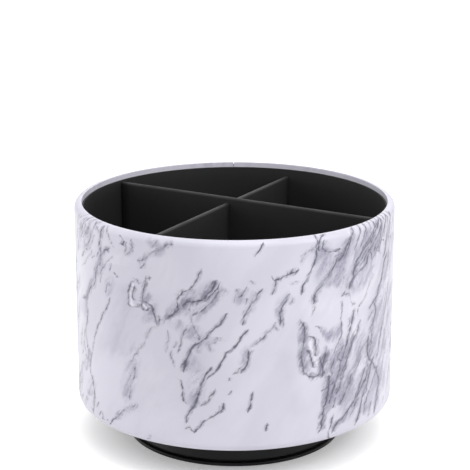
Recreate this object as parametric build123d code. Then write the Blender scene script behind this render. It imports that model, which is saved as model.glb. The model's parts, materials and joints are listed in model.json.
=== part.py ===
from build123d import *
from math import sqrt
import os

# A rotating desk organizer: a round, leather-covered barrel with two crossed dividers,
# turning on a ball bearing over a low moulded base. Millimetres, +Z up, desk at z = 0,
# turning axis on Z. +X runs along the main divider.

# Barrel
barrel_radius = 92.0        # over the leather
barrel_height = 119.0       # from the turned-under hem to the crest of the rim
leather_thickness = 1.2
flap_thickness = 0.6        # the leather is pared where it turns into the barrel
flap_depth = 13.0           # how far it reaches down inside
hem_width = 14.0            # how far it reaches in under the floor
wall_thickness = 2.4        # rolled board tube
rim_roll = 3.8              # outer rounding of the rim
inner_roll = 0.4            # inner rounding of the rim
crest_flat = 0.2            # least flat left between the two
foot_roll = 5.0             # rounding at the barrel's lower edge
glue_line = 0.1             # film of glue between layers
seam_width = 0.3            # butt seam of the leather, at the back
seam_depth = 0.4
seam_angle = 120.0
floor_thickness = 4.0
cover_recess = 0.2          # face of the black sheet under the floor, above the hem's
cover_gap = 0.2             # between that sheet's edge and the hem's

# Lining
lining_thickness = 0.8      # over the turned-in flap, and on the floor
rim_band = 3.0              # leather left showing inside, above the lining

# Dividers
board_core = 2.2            # stiff board
board_cover = 0.4           # black sheet folded over it
board_edge_round = 1.0      # rounding of the board's top edge
main_drop = 4.0             # crest of the rim down to the main divider's top
cross_drop = 3.2            # main divider's top down to the cross divider's
main_offset = 13.0          # main divider's middle plane, in +Y
cross_offset = 11.5         # cross divider's middle plane, in -X
lap_height = 55.0           # height of the slot in the main divider
slot_clearance = 0.1        # each side of a board in the other's slot

# Turntable
ball_diameter = 5.0
ball_count = 12
ball_circle_radius = 38.0
ball_clearance = 0.1        # ball to race groove
pocket_clearance = 0.15     # ball to cage pocket
groove_depth = 0.6
cage_width = 8.0
cage_thickness = 1.6
top_plate_margin = 12.0     # plate beyond the ball circle
top_plate_thickness = 1.8
lower_plate_margin = 8.0
lower_plate_thickness = 1.4
hub_radius = 11.0
hub_clearance = 0.4         # hub's end to the lower plate
pin_radius = 4.0
running_clearance = 0.05    # pin to the bores round it
pin_head_radius = 8.0
pin_head_thickness = 1.4
pin_head_gap = 0.4          # pin's head to the sheet above it
head_side_gap = 0.6
washer_thickness = 0.8
washer_gap = 0.1            # thrust washer to the turning hub
lock_washer_thickness = 1.0
push_nut_radius = 7.0
push_nut_thickness = 1.0
pin_tail = 1.4              # pin left below the push nut
pin_chamfer = 0.6

# Screws
plate_screw_count = 4
plate_screw_circle = 26.0   # radius
plate_screw_radius = 1.5
plate_screw_head_radius = 3.2
plate_screw_head_height = 1.8
plate_screw_bite = 3.2      # into the floor board
plate_screw_hole = 1.8      # radius of the free hole
base_screw_count = 3
base_screw_circle = 18.0    # radius
base_screw_angle = 30.0
base_screw_radius = 1.4
base_screw_head_radius = 2.6
base_screw_bite = 7.0       # below the deck's top
screw_clearance = 0.05      # thread's crest to the bore it grips
recess_length = 3.4         # cross recess in a screw's head
recess_width = 0.8
recess_depth = 0.9
access_hole_radius = 4.2    # lets a driver reach the plate screws from below
access_hole_angle = 75.0

# Base
foot_proud = 0.5            # rubber feet below the base's lip
base_height = 14.0          # desk to the top of the deck
deck_radius = 56.5
skirt_lean = 3.5            # foot of the skirt beyond the deck
lip_width = 2.6             # lip beyond the foot of the skirt
lip_height = 1.8
lip_round = 0.8
cove_radius = 1.6
deck_round = 2.0
base_wall = 2.2
deck_thickness = 2.5
rib_count = 4
rib_thickness = 1.6
rib_depth = 6.0
hub_ring_radius = 13.0
hub_ring_wall = 2.0
screw_boss_wall = 2.1
rubber_foot_count = 4
rubber_foot_inset = 8.5     # middle of a rubber foot inside the deck's edge
rubber_foot_radius = 5.0
rubber_foot_height = 2.0
foot_recess_clearance = 0.15
foot_boss_wall = 1.4
rubber_foot_round = 0.5

# Heights that follow
deck_top = base_height
lower_plate_top = deck_top + lower_plate_thickness
ball_centre = lower_plate_top - groove_depth + ball_clearance + ball_diameter / 2
top_plate_bottom = ball_centre + ball_diameter / 2 + ball_clearance - groove_depth
top_plate_top = top_plate_bottom + top_plate_thickness
barrel_bottom = top_plate_top - cover_recess
rim_top = barrel_bottom + barrel_height
hem_top = barrel_bottom + leather_thickness
floor_bottom = hem_top + glue_line
floor_top = floor_bottom + floor_thickness
floor_lining_bottom = floor_top + glue_line
floor_lining_top = floor_lining_bottom + lining_thickness
board_bottom = floor_lining_top + glue_line
lining_top = rim_top - rim_band
flap_bottom = rim_top - flap_depth
main_top = rim_top - main_drop
cross_top = main_top - cross_drop
lap_top = board_bottom + lap_height
deck_bottom = deck_top - deck_thickness
hub_bottom = lower_plate_top + hub_clearance
pin_head_top = top_plate_top - pin_head_gap
pin_head_bottom = pin_head_top - pin_head_thickness
washer_bottom = pin_head_bottom - washer_thickness
counterbore_floor = washer_bottom - washer_gap
lock_washer_bottom = deck_bottom - lock_washer_thickness
push_nut_bottom = lock_washer_bottom - push_nut_thickness
pin_end = push_nut_bottom - pin_tail
base_screw_end = deck_top - base_screw_bite

# Radii that follow
skin_inside = barrel_radius - leather_thickness
wall_outside = skin_inside - glue_line
wall_inside = wall_outside - wall_thickness
flap_outside = wall_inside - glue_line
flap_inside = flap_outside - flap_thickness
lining_outside = flap_inside - glue_line
lining_inside = lining_outside - lining_thickness
hem_inside = barrel_radius - hem_width
board_end_radius = lining_inside - glue_line
board_thickness = board_core + 2 * board_cover
rim_corner = min(rim_roll, barrel_radius - flap_inside - inner_roll - crest_flat)
top_plate_radius = ball_circle_radius + top_plate_margin
lower_plate_radius = ball_circle_radius + lower_plate_margin
skirt_foot_radius = deck_radius + skirt_lean
lip_radius = skirt_foot_radius + lip_width
rubber_foot_circle = deck_radius - rubber_foot_inset


def section(inside, outside, low, high):
    """Half section of a turned piece: a rectangle between two radii and two heights."""
    middle = Pos((inside + outside) / 2, (low + high) / 2)
    return middle * Rectangle(outside - inside, high - low)


def rounded(sketch, corners):
    """The sketch with the corner nearest each (radius, height) point rounded."""
    for radius, height, rounding in corners:
        corner = sketch.vertices().sort_by_distance((radius, height, 0))[0]
        sketch = fillet(corner, rounding)
    return sketch


def turned(sketch):
    """The solid that a half section sweeps about Z."""
    return revolve(Plane.XZ * sketch, Axis.Z)


def disc(radius, low, high):
    return Pos(0, 0, low) * Cylinder(radius, high - low, align=(Align.CENTER, Align.CENTER, Align.MIN))


def around(count, radius, start=0.0):
    """Evenly spaced places on a circle about Z."""
    return PolarLocations(radius, count, start)


def core_section(inset):
    """Half section of all that lies inside the leather, drawn in by inset."""
    outside = barrel_radius - inset
    low, high = barrel_bottom + inset, rim_top - inset
    corners = [(outside, high, rim_corner - inset), (outside, low, foot_roll - inset)]
    return rounded(section(0, outside, low, high), corners)


def make_leather_wrap():
    """Printed leather: round the wall, over the rim to a flap inside, and under to a hem."""
    skin = core_section(0) - section(0, flap_inside, hem_top, rim_top)
    skin = rounded(skin, [(flap_inside, rim_top, inner_roll)])
    skin -= section(0, hem_inside, barrel_bottom, hem_top)
    skin -= core_section(leather_thickness) - section(0, flap_outside, barrel_bottom, rim_top)
    skin -= section(flap_inside, flap_outside, hem_top, flap_bottom)
    seam = Pos(barrel_radius, 0, (barrel_bottom + rim_top) / 2)
    seam *= Box(2 * seam_depth, seam_width, barrel_height - 2 * foot_roll)
    return turned(skin) - Rot(0, 0, seam_angle) * seam


def make_barrel_wall():
    inset = leather_thickness + glue_line
    return turned(core_section(inset) - section(0, wall_inside, barrel_bottom, rim_top))


def plate_screw_bores(radius, low, high):
    return around(plate_screw_count, plate_screw_circle) * disc(radius, low, high)


def make_floor_board():
    inset = leather_thickness + glue_line
    disc_section = section(0, wall_inside - glue_line, floor_bottom, floor_top)
    board = turned(core_section(inset) & disc_section)
    bore = plate_screw_radius + screw_clearance
    return board - plate_screw_bores(bore, floor_bottom, floor_bottom + plate_screw_bite + 2 * glue_line)


def make_wall_lining():
    """Soft black lining, pressed thinner where it laps over the leather's flap."""
    lining = section(lining_inside, wall_inside - glue_line, floor_lining_bottom, lining_top)
    lining -= section(lining_outside, wall_inside, flap_bottom - glue_line, rim_top)
    return turned(lining)


def make_floor_lining():
    return disc(lining_inside - glue_line, floor_lining_bottom, floor_lining_top)


def make_bottom_cover():
    cover = disc(hem_inside - cover_gap, top_plate_top, hem_top)
    return cover - plate_screw_bores(plate_screw_hole, top_plate_top, floor_bottom)


def board_length(offset):
    """Longest square-cut board, offset from the axis, that fits inside the lining."""
    return 2 * sqrt(board_end_radius**2 - (abs(offset) + board_thickness / 2) ** 2)


def board_shape(thickness, offset, top, rounding):
    """A board standing along X on the floor lining, its top edge rounded."""
    profile = rounded(
        section(-thickness / 2, thickness / 2, board_bottom, top),
        [(-thickness / 2, top, rounding), (thickness / 2, top, rounding)],
    )
    return extrude(Plane.YZ * profile, board_length(offset) / 2, both=True)


def divider(offset, top, slot):
    """A divider's stiff board and its folded cover, both cut by the same slot."""
    core = board_shape(board_core, offset, top - board_cover, board_edge_round)
    skin = board_shape(board_thickness, offset, top, board_edge_round + board_cover)
    return core - slot, skin - core - slot


def make_dividers():
    """The main divider is slotted from below and the cross divider from above."""
    width = board_thickness + 2 * slot_clearance
    lap = 2 * slot_clearance
    reach = board_thickness + lap
    main_slot = Pos(-cross_offset, 0, board_bottom)
    main_slot *= Box(width, reach, lap_height, align=(Align.CENTER, Align.CENTER, Align.MIN))
    cross_slot = Pos(main_offset, 0, lap_top - lap)
    cross_slot *= Box(width, reach, barrel_height, align=(Align.CENTER, Align.CENTER, Align.MIN))
    main_place = Pos(0, main_offset, 0)
    cross_place = Pos(-cross_offset, 0, 0) * Rot(0, 0, 90)
    main = divider(main_offset, main_top, main_slot)
    cross = divider(cross_offset, cross_top, cross_slot)
    return [main_place * board for board in main], [cross_place * board for board in cross]


def race_ring():
    """The room that the balls run in: a ring a little thicker than a ball."""
    return Pos(0, 0, ball_centre) * Torus(ball_circle_radius, ball_diameter / 2 + ball_clearance)


def make_top_plate():
    """Turning plate with a race groove below and a counterbored hub for the pin's head."""
    plate = disc(top_plate_radius, top_plate_bottom, top_plate_top)
    plate += disc(hub_radius, hub_bottom, top_plate_top)
    plate -= disc(pin_head_radius + head_side_gap, counterbore_floor, top_plate_top)
    plate -= disc(pin_radius + running_clearance, hub_bottom, top_plate_top)
    plate -= plate_screw_bores(plate_screw_hole, top_plate_bottom, top_plate_top)
    return plate - race_ring()


def cross_recess(middle_height):
    """A driver's cross recess, with its depth centred on a height."""
    bars = Box(recess_length, recess_width, recess_depth) + Box(recess_width, recess_length, recess_depth)
    return Pos(0, 0, middle_height) * bars


def make_plate_screws():
    """Pan-head screws that hold the turning plate to the floor board, from below."""
    screw = disc(plate_screw_radius, top_plate_bottom, floor_bottom + plate_screw_bite)
    head = disc(plate_screw_head_radius, top_plate_bottom - plate_screw_head_height, top_plate_bottom)
    edge = head.edges().sort_by(Axis.Z)[0]
    screw += fillet(edge, plate_screw_head_height / 2)
    screw -= cross_recess(top_plate_bottom - plate_screw_head_height + recess_depth / 2)
    return Compound(children=[place * screw for place in around(plate_screw_count, plate_screw_circle)])


def make_ball_cage():
    inside = ball_circle_radius - cage_width / 2
    low = ball_centre - cage_thickness / 2
    ring = disc(inside + cage_width, low, low + cage_thickness) - disc(inside, low, low + cage_thickness)
    pocket = disc(ball_diameter / 2 + pocket_clearance, low, low + cage_thickness)
    return ring - around(ball_count, ball_circle_radius) * pocket


def make_balls():
    ball = Pos(0, 0, ball_centre) * Sphere(ball_diameter / 2)
    return [place * ball for place in around(ball_count, ball_circle_radius)]


def base_screw_places():
    return around(base_screw_count, base_screw_circle, base_screw_angle)


def access_hole(low, high):
    return Rot(0, 0, access_hole_angle) * Pos(plate_screw_circle, 0, 0) * disc(access_hole_radius, low, high)


def countersunk_head(growth=0.0):
    """The head's cone, flush with the lower plate's top."""
    low = deck_top
    rise = lower_plate_thickness
    outline = Polyline(
        (0, low),
        (base_screw_radius + growth, low),
        (base_screw_head_radius + growth, low + rise),
        (0, low + rise),
        close=True,
    )
    return turned(make_face(outline))


def make_lower_plate():
    """Steel race plate, screwed to the deck."""
    plate = disc(lower_plate_radius, deck_top, lower_plate_top) - race_ring()
    plate -= disc(pin_radius + running_clearance, deck_top, lower_plate_top)
    plate -= base_screw_places() * countersunk_head(screw_clearance)
    return plate - access_hole(deck_top, lower_plate_top)


def make_base_screws():
    screw = countersunk_head() + disc(base_screw_radius, base_screw_end, deck_top)
    screw -= cross_recess(lower_plate_top - recess_depth / 2)
    return Compound(children=[place * screw for place in base_screw_places()])


def skirt_section():
    """Outside of the base: lip, cove, leaning skirt and deck."""
    lip_top = foot_proud + lip_height
    outline = Polyline(
        (0, foot_proud),
        (lip_radius, foot_proud),
        (lip_radius, lip_top),
        (skirt_foot_radius, lip_top),
        (deck_radius, deck_top),
        (0, deck_top),
        close=True,
    )
    corners = [
        (lip_radius, lip_top, lip_round),
        (skirt_foot_radius, lip_top, cove_radius),
        (deck_radius, deck_top, deck_round),
    ]
    return rounded(make_face(outline), corners)


def hollow_section():
    """Room under the base, one wall inside its skirt and deck."""
    outline = Polyline(
        (0, foot_proud),
        (skirt_foot_radius - base_wall, foot_proud),
        (deck_radius - base_wall, deck_bottom),
        (0, deck_bottom),
        close=True,
    )
    return make_face(outline)


def foot_places():
    return around(rubber_foot_count, rubber_foot_circle, 180 / rubber_foot_count)


def make_base_dish():
    """Moulded base: a shell with ribs, screw bosses and sockets for the feet."""
    hollow = turned(hollow_section())
    rib_low = deck_bottom - rib_depth
    ring = disc(hub_ring_radius, rib_low, deck_bottom)
    ring -= disc(hub_ring_radius - hub_ring_wall, rib_low, deck_bottom)
    rib_length = deck_radius - hub_ring_radius + hub_ring_wall / 2
    rib = Pos(hub_ring_radius - hub_ring_wall / 2, 0, rib_low)
    rib *= Box(rib_length, rib_thickness, rib_depth, align=(Align.MIN, Align.CENTER, Align.MIN))
    screw_boss = disc(base_screw_radius + screw_boss_wall, base_screw_end, deck_bottom)
    socket_radius = rubber_foot_radius + foot_recess_clearance
    foot_boss = disc(socket_radius + foot_boss_wall, foot_proud, deck_bottom)
    inside = ring + around(rib_count, 0) * rib
    inside += base_screw_places() * screw_boss
    inside += foot_places() * foot_boss
    dish = turned(skirt_section()) - hollow + (inside & hollow)
    dish -= foot_places() * disc(socket_radius, foot_proud, rubber_foot_height)
    dish -= base_screw_places() * disc(base_screw_radius + screw_clearance, base_screw_end, deck_top)
    dish -= disc(pin_radius + running_clearance, deck_bottom, deck_top)
    return dish - access_hole(deck_bottom, deck_top)


def make_rubber_feet():
    foot = disc(rubber_foot_radius, 0, rubber_foot_height)
    foot = fillet(foot.edges().sort_by(Axis.Z)[0], rubber_foot_round)
    return [place * foot for place in foot_places()]


def make_pivot_pin():
    pin = disc(pin_radius, pin_end, pin_head_bottom)
    pin = chamfer(pin.edges().sort_by(Axis.Z)[0], pin_chamfer)
    return pin + disc(pin_head_radius, pin_head_bottom, pin_head_top)


def washer(outside, low, high):
    return disc(outside, low, high) - disc(pin_radius + running_clearance, low, high)


def make_pieces():
    """Every sub-part by name."""
    (main_core, main_cover), (cross_core, cross_cover) = make_dividers()
    pieces = {
        "leather_wrap": make_leather_wrap(),
        "barrel_wall": make_barrel_wall(),
        "wall_lining": make_wall_lining(),
        "floor_board": make_floor_board(),
        "floor_lining": make_floor_lining(),
        "main_divider_board": main_core,
        "main_divider_cover": main_cover,
        "cross_divider_board": cross_core,
        "cross_divider_cover": cross_cover,
        "bottom_cover": make_bottom_cover(),
        "turntable_top_plate": make_top_plate(),
        "top_plate_screws": make_plate_screws(),
        "ball_cage": make_ball_cage(),
        "turntable_lower_plate": make_lower_plate(),
        "lower_plate_screws": make_base_screws(),
        "base_dish": make_base_dish(),
        "pivot_pin": make_pivot_pin(),
        "thrust_washer": washer(pin_head_radius, washer_bottom, pin_head_bottom),
        "lock_washer": washer(pin_head_radius, lock_washer_bottom, deck_bottom),
        "push_nut": washer(push_nut_radius, push_nut_bottom, lock_washer_bottom),
    }
    for number, ball in enumerate(make_balls(), 1):
        pieces[f"bearing_ball_{number:02d}"] = ball
    for number, foot in enumerate(make_rubber_feet(), 1):
        pieces[f"rubber_foot_{number}"] = foot
    return pieces


os.makedirs("parts", exist_ok=True)
for name, piece in make_pieces().items():
    export_step(piece, f"parts/{name}.step")
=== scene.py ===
"""A round pen holder in marble-print leather on a turning base: its finishes, light and camera.

Metres, +Z up, the desk at z = 0 and the turning axis on Z, as in the frame.
"""
import bpy
import bmesh
import json
from math import atan2, cos, hypot, pi, radians, sin
from mathutils import Matrix, Vector, noise


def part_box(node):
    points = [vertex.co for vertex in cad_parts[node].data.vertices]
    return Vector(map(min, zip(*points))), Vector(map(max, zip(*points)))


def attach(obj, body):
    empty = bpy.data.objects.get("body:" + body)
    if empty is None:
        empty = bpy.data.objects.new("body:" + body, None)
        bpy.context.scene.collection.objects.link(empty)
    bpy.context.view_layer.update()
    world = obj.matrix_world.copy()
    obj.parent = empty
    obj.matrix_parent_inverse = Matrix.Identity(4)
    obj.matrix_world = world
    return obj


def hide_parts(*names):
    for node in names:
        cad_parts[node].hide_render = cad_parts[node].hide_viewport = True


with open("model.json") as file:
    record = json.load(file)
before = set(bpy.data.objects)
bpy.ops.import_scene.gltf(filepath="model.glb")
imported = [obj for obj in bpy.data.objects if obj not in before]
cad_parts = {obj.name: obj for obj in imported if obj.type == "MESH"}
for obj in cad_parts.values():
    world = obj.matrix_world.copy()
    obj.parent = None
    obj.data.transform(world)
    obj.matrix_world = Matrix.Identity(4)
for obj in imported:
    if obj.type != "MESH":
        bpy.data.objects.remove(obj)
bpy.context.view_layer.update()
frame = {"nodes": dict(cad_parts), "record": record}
MM = 0.001

# Camera, and the direction in which the barrel's front line lies
VIEW_AZIMUTH = 29.6
VIEW_ELEVATION = 15.99
VIEW_DISTANCE = 0.9455
VIEW_TARGET = Vector((0.226, 0.129, 117.64)) * MM
LENS = 125.17
FRONT = radians(-60.4)

# Leather
BARREL_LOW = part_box("leather_wrap")[0].z
BARREL_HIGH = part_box("leather_wrap")[1].z
BARREL_RADIUS = 92 * MM
LEATHER = 1.2 * MM
FLAP = 0.6 * MM
FLAP_INSIDE = BARREL_RADIUS - 4.4 * MM
FLAP_RING = 4 * MM            # below the rim, where the flap's faces are divided
FLAP_DEPTH = 13 * MM
HEM_WIDTH = 14 * MM
RIM_ROLL = 3.8 * MM
INNER_ROLL = 0.4 * MM
FOOT_ROLL = 5 * MM
SEAM = radians(120)
SEAM_GAP = 0.3 * MM
WAVINESS = 0.08 * MM
LEATHER_WAVES = 28            # scale of the noise that makes them, as for the two below
PLEATS = 72
PLEAT_HEIGHT = 0.3 * MM
HEM_PLAY = 0.1 * MM           # how far above the barrel's lower face a point still counts as the hem's
ROUND_STEPS = 360

# Lining and dividers
LINING = 0.8 * MM
LINING_INSIDE = 86.7 * MM
LINING_STEP = 0.7 * MM        # its back goes further out below the leather's flap
LINING_ROUND = 0.3 * MM
LINING_BEVEL = 0.1 * MM
LINING_WAVES = 35
LINING_SEAM = radians(-35)
LINING_GAP = 0.02 * MM
LINING_STEPS = 288
LAP_WIDTH = 14 * MM
LAP_RISE = 0.35 * MM
COVER = 0.4 * MM
COVER_WAVES = 45
FOLD_ROUND = 1.4 * MM
SIDE_STEPS = 14
LENGTH_STEPS = 28
DIVIDER_PLACES = (13 * MM, -11.5 * MM)   # main divider's y and cross divider's x
SLOT_WIDTH = 3.2 * MM
SLOT_HEIGHT = 55 * MM
SLOT_PLAY = 0.2 * MM
SLOT_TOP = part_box("main_divider_cover")[0].z + SLOT_HEIGHT
OPEN_END = 1.0                # higher than any divider, for a slot that is open at its top

# Rubber feet: the face that they stand on, as (radius, height) in millimetres
FOOT_FACE = (
    (0, 0.25), (0.9, 0.25), (1.1, 0), (2.0, 0), (2.2, 0.3), (2.7, 0.3), (2.9, 0), (3.7, 0),
    (3.9, 0.2), (4.2, 0.2), (4.4, 0),
)
FOOT_ROUND = 0.5 * MM
FOOT_BEVEL = 0.1 * MM

# Screws, their lengths given as shares of their radius or their pitch where they have no unit
THREAD_PITCH = 0.9 * MM
THREAD_DEPTH = 0.3 * MM
THREAD_SINK = 0.05 * MM       # how deep the thread's foot lies in the shank
THREAD_HALF = 0.4             # share of the pitch that half the thread's foot takes
THREAD_END = 1.6
THREAD_STEPS = 24             # in one turn
TIP_RADIUS = 0.2
TIP_LENGTH = 1.4
RECESS = (3.4 * MM, 0.8 * MM, 0.9 * MM)  # length, width and depth of a screw's cross
RECESS_TAPER = 0.85
CELL_CORNERS = 8              # at most, for the cells of the cross; the face round them has more
SCREW_STEPS = 32

# Push nut: radius and drop of its web, of its teeth's root and of their tips
SPRING_SHEET = 0.4 * MM
SPRING_RINGS = ((5.8 * MM, 0.0), (4.9 * MM, 0.25 * MM), (4.08 * MM, 0.55 * MM))
SPRING_STEPS = 72
TOOTH_PITCH = pi / 3
TOOTH_WIDTH = pi / 4

# All meshes
SAME = 1e-7                   # metres under which two places count as one
MERGE = 1e-6                  # metres under which two vertices are joined
SMOOTH_ANGLE = radians(35)

# Marble print on the leather laid flat, in millimetres
SHEET = 260.0                 # as much of it as counts as 1 in the veins
SHEET_LEFT = 130.0
TAPER = 3.6                   # length over which each end of a vein thins away
TIP = 1.2                     # how far that end goes past the vein's last point
JOINT = 0.5                   # length over which one stretch of a vein gives way to the next
MOST_TAPER = 0.36             # share of a stretch that an end takes at most
SHORTEST = 1e-4               # share of the sheet that a stretch has to reach along
SIDEWAYS = 1.3                # times wider than high, from which a vein counts as running across
STEEPEST = 2.0                # how much wider than its half width a slanting vein is laid at most
MIDDLE_FADE = 0.9             # darkness half way along a vein
HALO = 2.3                    # how many times wider than its core a vein fades out
FAINTEST = 0.16               # darkness of a vein given as 0
LINE_REACH = 0.95             # from a vein's middle to where a line as dark as 1 ends
LEAN = radians(57)            # of the strands and of the free marbling
WANDERINGS = ((0.09, 3.4), (0.3, 1.3), (1.3, 0.55))   # scale and reach of the clouds that move the veins
FREE_PAST = (108.0, 126.0)    # from the front line, where free marbling sets in
FREE_TOP = (116.0, 122.0)     # up the sheet, where it fades again
RIM_HIGHLIGHT_BAND = (121.0, 126.0)       # up the sheet, where the pale band sets in: a painted highlight over the rim and painted light on the flap inside

# Colours of the print as they look on a screen, and how much of each covers what lies below it; the rim layer
# is a painted highlight and the lift layer is partly painted light
STONE = ((211, 209, 222), (219, 217, 230))
PRINT = {
    "veil": ((196, 194, 209), 0.75),
    # partly print, partly painted light: the broad pale fields along the left edge brighten it as light would
    "lift": ((230, 229, 239), 1.0),
    "smoke": ((172, 169, 187), 1.0),
    # painted highlight, not print: near-white over the rim's crest and the flap inside it
    "rim": ((248, 248, 253), 0.85),
    "pale": ((238, 237, 246), 1.0),
    "ink": ((112, 110, 128), 1.0),
    "core": ((82, 80, 98), 0.9),
}

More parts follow.
